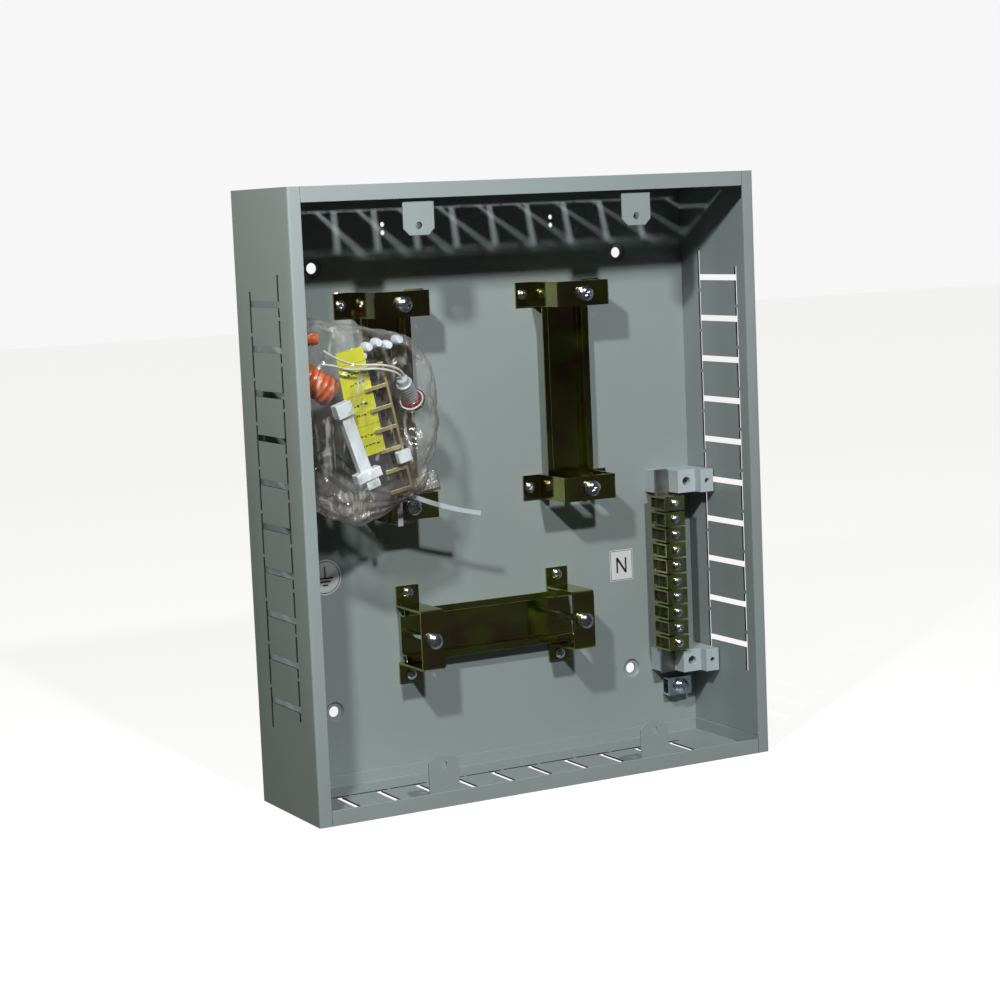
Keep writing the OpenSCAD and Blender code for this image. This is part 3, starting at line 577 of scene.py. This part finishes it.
def joined(name, objects):
    """One object from several, with their meshes joined."""
    bm = bmesh.new()
    for obj in objects:
        bm.from_mesh(obj.data)
        bpy.data.objects.remove(obj)
    return new_object(name, bm)


# ---------------------------------------------------------------- box, rails and fittings

CUTS_FROM, CUTS_TO = 14 * MM, 68 * MM  # depths behind the front edge that hold the knockouts
STATIONS = ("left_top", "left_bottom", "right_top", "right_bottom", "lower_left", "lower_right")


def same_finish(node, name, finish, width):
    """A rounded node in the given finish."""
    return rounded_node(node, name, finish, finish, width)


def paint_shade_in_cuts(obj, across):
    """Painted shade: near-black faces inside the knockout cuts of the sheets that stand across an
    axis.
    """
    obj.data.materials.append(material("cut_edge"))
    low, high = SHELL_LOW[across], SHELL_HIGH[across]
    for face in obj.data.polygons:
        centre = face.center
        into_sheet = min(centre[across] - low, high - centre[across]) / SHEET
        from_front = centre.y - SHELL_LOW.y
        if 0.2 < into_sheet < 0.8 and CUTS_FROM < from_front < CUTS_TO:
            face.material_index = 1


class ENCLOSURE_OT_box(bpy.types.Operator):
    """Wrapped body, end caps and cover tabs in their powder coat"""

    bl_idname = "enclosure.box"
    bl_label = "Box"

    def execute(self, context):
        width = settings("box").edge
        wrap = same_finish("body_shell", "box_wrap", "paint", width)
        # the faces inside the knockout slots get painted shade
        paint_shade_in_cuts(wrap, 0)
        for node in ("top_cap", "bottom_cap"):
            cap = same_finish(node, node + "_sheet", "paint", width)
            paint_shade_in_cuts(cap, 2)
        for side in ("top_left", "top_right", "bottom_left", "bottom_right"):
            same_finish("cover_tab_" + side, "tab_" + side, "paint", width)
        return {"FINISHED"}


class ENCLOSURE_OT_rails(bpy.types.Operator):
    """Three plated rails with their clinch nuts"""

    bl_idname = "enclosure.rails"
    bl_label = "Rails"

    def execute(self, context):
        width = settings("metal").edge
        for place in ("left", "right", "lower"):
            same_finish("rail_" + place, "rail_strip_" + place, "yellow_zinc", 2 * width)
            same_finish(f"rail_{place}_nuts", "nuts_" + place, "bright_zinc", width)
        return {"FINISHED"}


class ENCLOSURE_OT_brackets(bpy.types.Operator):
    """Six bridge brackets with their screws and washers"""

    bl_idname = "enclosure.brackets"
    bl_label = "Brackets"

    def execute(self, context):
        width = settings("metal").edge
        for place in STATIONS:
            same_finish("bracket_" + place, "bridge_" + place, "yellow_zinc", 2 * width)
            same_finish("screw_" + place, "adjuster_" + place, "bright_zinc", width)
        same_finish("adjuster_washers", "flat_washers", "bright_zinc", width)
        same_finish("adjuster_lock_washers", "split_washers", "bright_zinc", width)
        same_finish("bracket_foot_screws", "foot_screws", "bright_zinc", width)
        return {"FINISHED"}


class ENCLOSURE_OT_neutral(bpy.types.Operator):
    """Neutral bar, its supports, clamps and clamp screws"""

    bl_idname = "enclosure.neutral"
    bl_label = "Neutral bar"

    def execute(self, context):
        metal = settings("metal").edge
        plastic = settings("plastic").edge
        same_finish("neutral_bar", "neutral_busbar", "bar_metal", metal)
        for place in ("top", "bottom"):
            rounded_node(
                "neutral_support_" + place, "bar_support_" + place, "white", "white_plastic",
                plastic, 3,
            )
        same_finish("neutral_support_screws", "support_screws", "bright_zinc", metal)
        rounded_node("neutral_clamps", "wire_clamps", "clamps", "clamp_zinc", metal)
        for k in range(1, CLAMPS + 1):
            same_finish(f"neutral_screw_{k}", f"clamp_screw_{k}", "blue_zinc", metal)
        return {"FINISHED"}


class ENCLOSURE_OT_earth(bpy.types.Operator):
    """Earth clamp and its screw"""

    bl_idname = "enclosure.earth"
    bl_label = "Earth clamp"

    def execute(self, context):
        width = settings("metal").edge
        same_finish("earth_clamp", "earth_frame", "blue_zinc", width)
        same_finish("earth_clamp_screw", "earth_screw", "blue_zinc", width)
        return {"FINISHED"}


STICKER_EDGE = 0.05 * MM
PRINT_THICK = 0.06 * MM


def stroke(bm, start, end, width, thick):
    """Adds a flat bar from start to end, points (x, z) in metres, standing on y = 0."""
    ax, az = start
    bx, bz = end
    along = Vector((bx - ax, 0, bz - az))
    made = bmesh.ops.create_cube(bm, size=1.0)["verts"]
    bmesh.ops.scale(bm, vec=(along.length, thick, width), verts=made)
    turn = Matrix.Rotation(-math.atan2(along.z, along.x), 4, "Y")
    bmesh.ops.transform(bm, matrix=turn, verts=made)
    bmesh.ops.translate(bm, vec=((ax + bx) / 2, 0, (az + bz) / 2), verts=made)


def new_verts(geometry):
    return [item for item in geometry if isinstance(item, bmesh.types.BMVert)]


def ring(bm, radius, width, thick):
    """Adds a flat ring around the origin, standing on y = 0."""
    made = bmesh.ops.create_circle(bm, segments=64, radius=radius)["verts"]
    rim = list({e for v in made for e in v.link_edges})
    inner = bmesh.ops.extrude_edge_only(bm, edges=rim)["geom"]
    moved = new_verts(inner)
    bmesh.ops.scale(bm, vec=(1 - width / radius, 1 - width / radius, 1), verts=moved)
    faces = list({f for v in moved for f in v.link_faces})
    raised = bmesh.ops.extrude_face_region(bm, geom=faces)["geom"]
    lifted = new_verts(raised)
    bmesh.ops.translate(bm, vec=(0, 0, thick), verts=lifted)
    both = list(set(made) | set(moved) | set(lifted))
    bmesh.ops.transform(bm, matrix=Matrix.Rotation(math.pi / 2, 4, "X"), verts=both)


def print_on(name, bm, low, high):
    """Turns a print drawn around the origin into a piece on the label that fills low to high."""
    bmesh.ops.recalc_face_normals(bm, faces=bm.faces)
    bm.transform(Matrix.Translation(((low.x + high.x) / 2, low.y, (low.z + high.z) / 2)))
    finish_piece(new_object(name, bm, smooth=False), "print", "white_label", "box")


def neutral_print(low, high, thick):
    """A frame around the capital letter that marks the neutral conductor."""
    half_x, half_z = ((high[k] - low[k]) / 2 - 0.7 * MM for k in (0, 2))
    corners = [(-half_x, -half_z), (half_x, -half_z), (half_x, half_z), (-half_x, half_z)]
    bm = bmesh.new()
    for k in range(4):
        stroke(bm, corners[k], corners[(k + 1) % 4], 0.35 * MM, thick)
    half_high, half_wide, line = 5.2 * MM, 3.4 * MM, 1.3 * MM
    for side in (-half_wide, half_wide):
        stroke(bm, (side, -half_high), (side, half_high), line, thick)
    stroke(bm, (-half_wide, half_high), (half_wide, -half_high), 1.5 * MM, thick)
    print_on("neutral_print", bm, low, high)


def earth_print(low, high, thick):
    """A ring around the sign for protective earth: a stem over three bars."""
    bm = bmesh.new()
    ring(bm, (high.x - low.x) / 2 - 1.0 * MM, 0.45 * MM, thick / 2)
    line, foot = 1.0 * MM, -0.6 * MM
    stroke(bm, (0, 7.0 * MM), (0, foot), line, thick)
    for k, half in enumerate((5.6 * MM, 3.8 * MM, 1.9 * MM)):
        z = foot - 2.3 * MM * k
        stroke(bm, (-half, z), (half, z), line, thick)
    print_on("earth_print", bm, low, high)


class ENCLOSURE_OT_labels(bpy.types.Operator):
    """Neutral and earth labels with their printed signs"""

    bl_idname = "enclosure.labels"
    bl_label = "Labels"

    def execute(self, context):
        for sign in ("neutral", "earth"):
            rounded_node(
                sign + "_label", sign + "_sticker", "label", "white_label", STICKER_EDGE, 1
            )
        neutral_print(*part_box("neutral_label"), PRINT_THICK)
        earth_print(*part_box("earth_label"), PRINT_THICK)
        return {"FINISHED"}


# ---------------------------------------------------------------- bag of fittings

# balls that the film is drawn around: right, up, out and radius
BULGES = (
    (17, 111, 60, 15), (76, 98, 60, 16), (86, 85, 60, 17), (88, 55, 58, 18),
    (79, 23, 64, 14.5), (46, 8, 60, 15), (20, 22, 60, 17),
)
NECK = (76, 10.5, 40.5)
# gathered film from inside the bag to its open end: right, up, out, radius and flatness
NECK_PATH = (
    (72, 17, 52, 7.5, 1.0), (73.5, 14, 47, 5.0, 1.0), (76, 11, 42.5, 3.1, 1.0),
    (82, 10.5, 40.6, 2.6, 1.0), (89, 10.8, 40.6, 2.4, 1.0), (95, 12.6, 41.0, 3.4, 0.78),
    (103, 15, 41.6, 5.4, 0.56), (112, 17.2, 42.4, 6.6, 0.34),
)
# noise per metre, multiple of the seed's offset, share of the crease depth and sharpness
CREASES = ((42, 1, 0.62, 3), (95, 2, 0.30, 3), (230, -1, 0.10, 2))
FAN_REACH = 75 * MM  # how far pleats spread from the neck
FAN_PLEATS = 26


def crumple(obj, depth, seed):
    """Presses creases into a closed film, always inwards."""
    mesh = obj.data
    rest = [v.co.copy() for v in mesh.vertices]
    normals = [v.normal.copy() for v in mesh.vertices]
    offset = Vector((seed * 1.7, seed * 0.9, seed * 2.3))
    neck = in_bag(*NECK)
    for vertex, place, normal in zip(mesh.vertices, rest, normals):
        away = place - neck
        spread = FAN_PLEATS * math.atan2(away.z, away.x)
        fan = 0.5 + 0.5 * math.sin(spread + 5 * noise.noise(place * 30 + offset))
        push = 0.9 * fan * max(0.0, 1 - away.length / FAN_REACH)
        for density, shift, share, sharpness in CREASES:
            ridge = 1 - abs(noise.noise(place * density + offset * shift)) * 2
            push += share * max(0, ridge) ** sharpness
        vertex.co = place - normal * push * depth
    mesh.update()


def film_body():
    """The bag's film before it is creased: the skin around its bulges."""
    bm = bmesh.new()
    for x, z, out, radius in BULGES:
        made = bmesh.ops.create_icosphere(bm, subdivisions=3, radius=(radius - 0.1) * MM)["verts"]
        bmesh.ops.translate(bm, vec=in_bag(x, z, out), verts=made)
    hull = bmesh.ops.convex_hull(bm, input=bm.verts)
    bmesh.ops.delete(bm, geom=new_verts(hull["geom_interior"]), context="VERTS")
    bmesh.ops.recalc_face_normals(bm, faces=bm.faces)
    obj = new_object("bag_film", bm)
    remesh = obj.modifiers.new("even_mesh", "REMESH")
    remesh.mode = "VOXEL"
    remesh.voxel_size = 1.5 * MM
    remesh.use_smooth_shade = True
    apply_modifiers(obj)
    return obj


def apply_modifiers(obj):
    bpy.context.view_layer.update()
    graph = bpy.context.evaluated_depsgraph_get()
    mesh = bpy.data.meshes.new_from_object(obj.evaluated_get(graph))
    obj.modifiers.clear()
    old = obj.data
    obj.data = mesh
    bpy.data.meshes.remove(old)


def pleated_neck():
    """Gathered film that leaves the bag, passes under the tie and flares behind it."""
    bm = bmesh.new()
    rings = []
    for k, (x, z, out, radius, flat) in enumerate(NECK_PATH):
        before = NECK_PATH[max(k - 1, 0)]
        after = NECK_PATH[min(k + 1, len(NECK_PATH) - 1)]
        along = in_bag(*after[:3]) - in_bag(*before[:3])
        place = frame_along(in_bag(x, z, out), along)
        made = bmesh.ops.create_circle(bm, segments=40, radius=radius * MM)["verts"]
        for j, vert in enumerate(made):
            pleat = 1 + (0.16 if j % 2 else -0.16) + 0.08 * math.sin(j * 1.7 + k)
            vert.co.x *= pleat * flat
            vert.co.y *= pleat
        bmesh.ops.transform(bm, matrix=place, verts=made)
        rings.append(made)
    for first, second in zip(rings, rings[1:]):
        edges = [e for e in bm.edges if all(v in first for v in e.verts)]
        edges += [e for e in bm.edges if all(v in second for v in e.verts)]
        bmesh.ops.bridge_loops(bm, edges=edges)
    bmesh.ops.recalc_face_normals(bm, faces=bm.faces)
    obj = new_object("bag_neck", bm)
    wall = obj.modifiers.new("film_thickness", "SOLIDIFY")
    wall.thickness = 0.1 * MM
    curve = obj.modifiers.new("soft_film", "SUBSURF")
    curve.levels = curve.render_levels = 1
    return obj


class ENCLOSURE_OT_bag(bpy.types.Operator):
    """Clear bag with its creases, gathered neck and tie"""

    bl_idname = "enclosure.bag"
    bl_label = "Bag"

    def execute(self, context):
        s = settings("bag")
        film = film_body()
        crumple(film, s.crease, s.seed)
        finish_piece(film, "film", "clear_film", "box", "accessory_bag")
        neck = pleated_neck()
        finish_piece(neck, "film", "clear_film", "box", "accessory_bag")
        rounded_node("bag_tie", "cable_tie", "nylon", "nylon", 0.2 * MM)
        return {"FINISHED"}


LAMP_AT = (90.6, 69, 54)
LAMP_TILT = 55.8  # degrees between its axis and the way out of the box
LAMP_HEADING = 130.3  # degrees from the right, seen from the front
BARREL_RIBS = 6
RIB_PITCH = 2.4


def lamp_frame():
    tilt, heading = math.radians(LAMP_TILT), math.radians(LAMP_HEADING)
    right = math.sin(tilt) * math.cos(heading)
    up = math.sin(tilt) * math.sin(heading)
    return frame_along(in_bag(*LAMP_AT), bag_direction(right, up, math.cos(tilt)))


class ENCLOSURE_OT_lamp(bpy.types.Operator):
    """Pilot lamp: chrome ring, pale flange, red seal and ribbed body"""

    bl_idname = "enclosure.lamp"
    bl_label = "Pilot lamp"

    def execute(self, context):
        place = lamp_frame()
        bezel = spun("lamp_ring", [
            (7.7, -1.3), (7.9, -1.5), (8.5, -0.9), (8.8, 0.2), (8.75, 1.0), (8.3, 1.5), (7.7, 1.5),
            (7.7, -1.3),
        ], place)
        finish_piece(bezel, "chrome", "chrome", "box", "lamp_bezel")
        flange = spun("lamp_flange", [
            (6.75, -1.3), (7.2, -1.6), (7.65, -1.4), (7.65, 1.3), (6.75, 1.5), (6.75, -1.3),
        ], place)
        finish_piece(flange, "label", "white_plastic", "box", "lamp_bezel")
        seal = spun("lamp_seal", [
            (0.0, -3.4), (2.4, -3.3), (4.6, -2.8), (6.0, -1.6), (6.5, 0.0), (6.6, 2.6),
            (6.2, 3.4), (5.2, 3.9), (0.0, 3.9),
        ], place)
        finish_piece(seal, "seal_red", "red_lens", "box", "lamp_lens")
        profile = [(0.0, 4.0), (5.2, 4.0)]
        for k in range(BARREL_RIBS):
            z = 5.0 + RIB_PITCH * k
            profile += [(5.2, z), (4.55, z + 0.45), (4.55, z + 1.25), (5.2, z + 1.7)]
        profile += [(5.2, 19.6), (4.9, 20.0), (3.8, 20.2), (3.75, 24.2), (3.2, 24.9), (0.0, 25.0)]
        body = spun("lamp_barrel", profile, place)
        round_edges(body, 0.15 * MM, 1)
        finish_piece(body, "lamp_grey", "lamp_grey", "box", "lamp_body")
        return {"FINISHED"}


STRIP_AT = (62, 60)
STRIP_TURN = 12
STRIP_PRINT_OUT = 65.28  # just in front of the strip's label
SECTION_TOP = 28.5
SECTION_PITCH = 19.5
ROWS = (3.2, -3.0)  # heights of the two rows of print in a section
ROW_START, ROW_END = -13.5, -4.5
WORD, GAP, LETTER = (0.8, 2.2), (0.5, 1.1), (0.6, 1.5)  # ranges of length and height


def strip_mark(bm, x, z, long, high):
    """Adds a printed bar to the strip's label, its left end at (x, z)."""
    made = bmesh.ops.create_cube(bm, size=1.0)["verts"]
    bmesh.ops.scale(bm, vec=(long * MM, 0.05 * MM, high * MM), verts=made)
    turn = Matrix.Rotation(-math.radians(STRIP_TURN), 4, "Y")
    bmesh.ops.transform(bm, matrix=turn, verts=made)
    right, up = turned(x + long / 2, z, STRIP_TURN, STRIP_AT)
    bmesh.ops.translate(bm, vec=in_bag(right, up, STRIP_PRINT_OUT), verts=made)


class ENCLOSURE_OT_strip(bpy.types.Operator):
    """Spare terminal strip with its comb and label"""

    bl_idname = "enclosure.strip"
    bl_label = "Spare strip"

    def execute(self, context):
        rounded_node("strip_block", "spare_strip", "dark_plastic", "black_plastic", 0.35 * MM)
        rounded_node("strip_comb", "spare_comb", "brass", "brass", 0.2 * MM)
        rounded_node("strip_label", "strip_sticker", "yellow", "yellow_label", STICKER_EDGE, 1)
        random.seed(11)
        bm = bmesh.new()
        for section in range(3):
            middle = SECTION_TOP - SECTION_PITCH * section
            strip_mark(bm, -17.6, middle + 9.5, 17.8, 0.16)
            for row in ROWS:
                x = ROW_START - 0.8 * section
                while x < ROW_END:
                    word = random.uniform(*WORD)
                    z = middle + row + random.uniform(-0.5, 0.5)
                    strip_mark(bm, x, z, word, random.uniform(*LETTER))
                    x += word + random.uniform(*GAP)
        obj = new_object("strip_print", bm, smooth=False)
        finish_piece(obj, "print", "yellow_label", "box")
        return {"FINISHED"}


PLUG_HEADING = -37


def plug_profile(long, start, end, ribs):
    """Profile of a wall plug that widens from start to end, with ribs and a bore at its end."""
    profile = [(0.0, 0.0), (start * 0.8, 0.0), (start, 0.6)]
    for k in range(1, ribs + 1):
        z = k * long / (ribs + 1)
        r = start + (end - start) * k / (ribs + 1)
        profile += [(r, z - 1.0), (r + 0.6, z - 0.3), (r + 0.6, z + 0.3), (r, z + 0.6)]
    profile += [(end, long - 0.6), (end * 0.9, long), (end * 0.5, long)]
    profile += [(end * 0.45, long - 4.0), (0.0, long - 4.2)]
    return profile


class ENCLOSURE_OT_fittings(bpy.types.Operator):
    """Spare supports, spacers and wall plugs"""

    bl_idname = "enclosure.fittings"
    bl_label = "Spare fittings"

    def execute(self, context):
        rounded_node(
            "spare_supports", "loose_supports", "spare_white", "white_plastic", 0.5 * MM, 3
        )
        rounded_node("spare_spacers", "loose_spacers", "spacer_nylon", "nylon", 0.6 * MM, 3)
        heading = math.radians(PLUG_HEADING)
        aslant = bag_direction(math.cos(heading), math.sin(heading), 0)
        level = bag_direction(1, 0, 0)
        plugs = [
            spun(name, plug_profile(*shape), frame_along(in_bag(*foot), along))
            for name, shape, foot, along in (
                ("plug_long", (28, 7, 9, 6), (9, 95, 62), aslant),
                ("plug_short", (14, 3, 3.8, 4), (11, 112, 60), level),
            )
        ]
        both = joined("wall_plug_pair", plugs)
        finish_piece(both, "orange", "orange_plastic", "box", "wall_plugs")
        return {"FINISHED"}


LAMP_LEAD = 1.5 * MM
EARTH_LEAD = 2.6 * MM
LEAD_LOW = (
    (76.7, 84.25, 68.6), (75.4, 86, 70), (72, 88.5, 71.8), (66, 90.5, 72.8),
    (58, 92, 73), (48, 92.2, 73), (38, 93, 73), (30, 95.5, 72.6), (22, 97, 72),
)
LEAD_HIGH = (
    (78.6, 86.1, 68.2), (76.8, 88.3, 70), (72.5, 91, 72), (66, 93.2, 73),
    (56, 94.5, 73.2), (46, 95, 73.2), (37, 97.5, 73), (30, 101, 72.5), (24, 105, 71.5),
)


def smooth_route(points, per_stretch=4):
    """Points on the smooth curve through points."""
    last = len(points) - 1
    route = []
    for k in range(last):
        a, b = points[max(k - 1, 0)], points[k]
        c, d = points[k + 1], points[min(k + 2, last)]
        for j in range(per_stretch):
            t = j / per_stretch
            route.append(0.5 * (
                2 * b + (c - a) * t + (2 * a - 5 * b + 4 * c - d) * t * t
                + (3 * b - a - 3 * c + d) * t * t * t
            ))
    route.append(points[last])
    return route


def wire(name, route, diameter, finish, node):
    """A lead along route."""
    curve = bpy.data.curves.new(name, "CURVE")
    curve.dimensions = "3D"
    curve.bevel_depth = diameter / 2
    curve.bevel_resolution = 4
    curve.use_fill_caps = True
    spline = curve.splines.new("POLY")
    spline.points.add(len(route) - 1)
    for point, place in zip(spline.points, route):
        point.co = (*place, 1.0)
    obj = bpy.data.objects.new(name, curve)
    bpy.context.scene.collection.objects.link(obj)
    finish_piece(obj, finish, finish, "box", node)


HANK_AT = (33, 33)
HANK_OUT = 56.6
HANK_TURN = -41


def hank_route(turns, run, radius, pitch):
    """A long coil that climbs by pitch a turn: straight runs with half circles at their ends."""
    per_turn = 48
    around = math.tau * radius
    total = 2 * run + around
    route = []
    for k in range(int(turns * per_turn) + 1):
        s = (k / per_turn) % 1.0 * total
        if s < run:
            x, z = -run / 2 + s, -radius
        elif s < run + around / 2:
            a = (s - run) / radius - math.pi / 2
            x, z = run / 2 + radius * math.cos(a), radius * math.sin(a)
        elif s < 2 * run + around / 2:
            x, z = run / 2 - (s - run - around / 2), radius
        else:
            a = (s - 2 * run - around / 2) / radius + math.pi / 2
            x, z = -run / 2 + radius * math.cos(a), radius * math.sin(a)
        right, up = turned(x, z, HANK_TURN, HANK_AT)
        route.append(in_bag(right, up, HANK_OUT + pitch * k / per_turn))
    return route


class ENCLOSURE_OT_leads(bpy.types.Operator):
    """Lamp leads and the hank of earth lead"""

    bl_idname = "enclosure.leads"
    bl_label = "Leads"

    def execute(self, context):
        low = smooth_route([in_bag(*p) for p in LEAD_LOW])
        high = smooth_route([in_bag(*p) for p in LEAD_HIGH])
        wire("lamp_lead_low", low, LAMP_LEAD, "white_wire", "lamp_leads")
        wire("lamp_lead_high", high, LAMP_LEAD, "white_wire", "lamp_leads")
        hank = hank_route(turns=2.4, run=36, radius=7.0, pitch=2.9)
        wire("earth_hank", hank, EARTH_LEAD, "green_wire", "earth_lead")
        return {"FINISHED"}


# ---------------------------------------------------------------- stage

CAMERA_AT = (-0.7294, -1.3488, 0.3677)
CAMERA_TURN = (28.15, -6.90, -2.43)  # yaw, pitch and roll in degrees
CAMERA_LENS = 85.97
FRONT_LAMP = ((-0.19, -2.40, 1.79), 0.16)  # place and diameter
SIDE_LAMP = ((-0.50, -0.56, 0.72), 0.05)
LIT_POINT = (0, 0, 0.2)
FLOOR_SIZE = 6.0
FLOOR_DULL = 0.2  # share of its colour that the floor throws back on the box
FLOOR_GLOW = 0.84
BACKGROUND = (0.93, 0.93, 0.93, 1.0)
SURROUND = (14.0, 14.0, 11.0)  # warm light from beside and behind the box


def area_light(name, place, size, power):
    data = bpy.data.lights.new(name, "AREA")
    data.shape = "DISK"
    data.size = size
    data.energy = power
    obj = bpy.data.objects.new(name, data)
    obj.location = place
    ahead = Vector(LIT_POINT) - Vector(place)
    obj.rotation_euler = ahead.to_track_quat("-Z", "Y").to_euler()
    bpy.context.scene.collection.objects.link(obj)


class ENCLOSURE_OT_stage(bpy.types.Operator):
    """Floor, light and camera"""

    bl_idname = "enclosure.stage"
    bl_label = "Stage"

    def camera(self, scene):
        yaw, pitch, roll = (math.radians(a) for a in CAMERA_TURN)
        ahead = Vector((
            math.sin(yaw) * math.cos(pitch), math.cos(yaw) * math.cos(pitch), math.sin(pitch)
        ))
        right = Vector((math.cos(yaw), -math.sin(yaw), 0))
        above = right.cross(ahead)
        across = math.cos(roll) * right + math.sin(roll) * above
        upward = math.cos(roll) * above - math.sin(roll) * right
        turn = Matrix((across, upward, -ahead)).transposed().to_4x4()
        data = bpy.data.cameras.new("front_camera")
        data.lens = CAMERA_LENS
        data.sensor_width = 36.0
        data.clip_end = 50
        cam = bpy.data.objects.new("front_camera", data)
        cam.matrix_world = Matrix.Translation(CAMERA_AT) @ turn
        scene.collection.objects.link(cam)
        scene.camera = cam

    def floor(self, s):
        bm = bmesh.new()
        bmesh.ops.create_grid(bm, x_segments=1, y_segments=1, size=FLOOR_SIZE)
        floor = new_object("studio_floor", bm)
        mat, tree, shader = blank_material("studio_floor")
        add_surface(tree, shader, 40.0, 3.0, (0.75, 0.85), 0.01 * MM)
        seen = add(tree, "ShaderNodeLightPath").outputs["Is Camera Ray"]
        dull = rgba([FLOOR_DULL * c for c in s.floor])
        shown = mix_colour(tree, seen, dull, rgba(s.floor))
        tree.links.new(shown, shader.inputs["Base Color"])
        glow = calculate(tree, "MULTIPLY", seen, FLOOR_GLOW)
        tree.links.new(glow, shader.inputs["Emission Strength"])
        shader.inputs["Emission Color"].default_value = (1, 1, 1, 1)
        shader.inputs["Specular IOR Level"].default_value = 0.0
        floor.data.materials.append(mat)

    def world(self, scene, s):
        """Even grey light, stronger from above and the sides, behind a plain pale background."""
        world = bpy.data.worlds.new("studio")
        scene.world = world
        world.use_nodes = True
        tree = world.node_tree
        sky = tree.nodes["Background"]
        way = add(tree, "ShaderNodeTexCoord").outputs["Generated"]
        above = map_range(tree, axis(tree, way, "Z"), -0.1, 0.8, 0.9, 1.5)
        front = map_range(tree, axis(tree, way, "Y"), -0.9, 0.2, 0.75, 1.0)
        even = calculate(tree, "MULTIPLY", above, front)
        sideways = calculate(tree, "ABSOLUTE", axis(tree, way, "X"))
        around = calculate(tree, "ADD", sideways, axis(tree, way, "Y"))
        side = map_range(tree, around, 0.6, 1.3)
        light = add(tree, "ShaderNodeVectorMath", operation="MULTIPLY_ADD")
        for socket, value in zip(light.inputs, (side, SURROUND, even)):
            feed(tree, socket, value)
        tree.links.new(light.outputs[0], sky.inputs["Color"])
        sky.inputs["Strength"].default_value = s.fill
        plain = add(tree, "ShaderNodeBackground", Color=BACKGROUND)
        seen = add(tree, "ShaderNodeLightPath").outputs["Is Camera Ray"]
        mixed = add(tree, "ShaderNodeMixShader")
        for socket, value in zip(mixed.inputs, (seen, sky.outputs[0], plain.outputs[0])):
            tree.links.new(value, socket)
        tree.links.new(mixed.outputs[0], tree.nodes["World Output"].inputs[0])

    def execute(self, context):
        scene = context.scene
        s = settings("stage")
        scene.view_settings.view_transform = "Standard"
        self.camera(scene)
        self.floor(s)
        self.world(scene, s)
        area_light("front_lamp", *FRONT_LAMP, s.key)
        area_light("side_lamp", *SIDE_LAMP, s.side)
        return {"FINISHED"}


# ---------------------------------------------------------------- panel and registration

BUILDERS = (
    ENCLOSURE_OT_stage, ENCLOSURE_OT_leads, ENCLOSURE_OT_box, ENCLOSURE_OT_rails,
    ENCLOSURE_OT_brackets, ENCLOSURE_OT_neutral, ENCLOSURE_OT_earth, ENCLOSURE_OT_labels,
    ENCLOSURE_OT_bag, ENCLOSURE_OT_lamp, ENCLOSURE_OT_strip, ENCLOSURE_OT_fittings,
)


class ENCLOSURE_PT_panel(bpy.types.Panel):
    """Sizes, colours and makers of the enclosure"""

    bl_label = "Enclosure"
    bl_idname = "ENCLOSURE_PT_panel"
    bl_space_type = "VIEW_3D"
    bl_region_type = "UI"
    bl_category = "Enclosure"

    def draw(self, context):
        for key, group in SETTINGS.items():
            box = self.layout.box()
            box.label(text=key.replace("_", " ").capitalize())
            for prop in group.__annotations__:
                box.prop(getattr(context.scene, key), prop)
        for builder in BUILDERS:
            self.layout.operator(builder.bl_idname)


def register():
    for group in SETTINGS.values():
        bpy.utils.register_class(group)
    for key, group in SETTINGS.items():
        setattr(bpy.types.Scene, key, PointerProperty(type=group))
    for builder in BUILDERS:
        bpy.utils.register_class(builder)
    bpy.utils.register_class(ENCLOSURE_PT_panel)


def unregister():
    bpy.utils.unregister_class(ENCLOSURE_PT_panel)
    for builder in reversed(BUILDERS):
        bpy.utils.unregister_class(builder)
    for key in SETTINGS:
        delattr(bpy.types.Scene, key)
    for group in SETTINGS.values():
        bpy.utils.unregister_class(group)


def main():
    register()
    for builder in BUILDERS:
        family, name = builder.bl_idname.split(".")
        getattr(getattr(bpy.ops, family), name)()


if __name__ == "__main__":
    main()
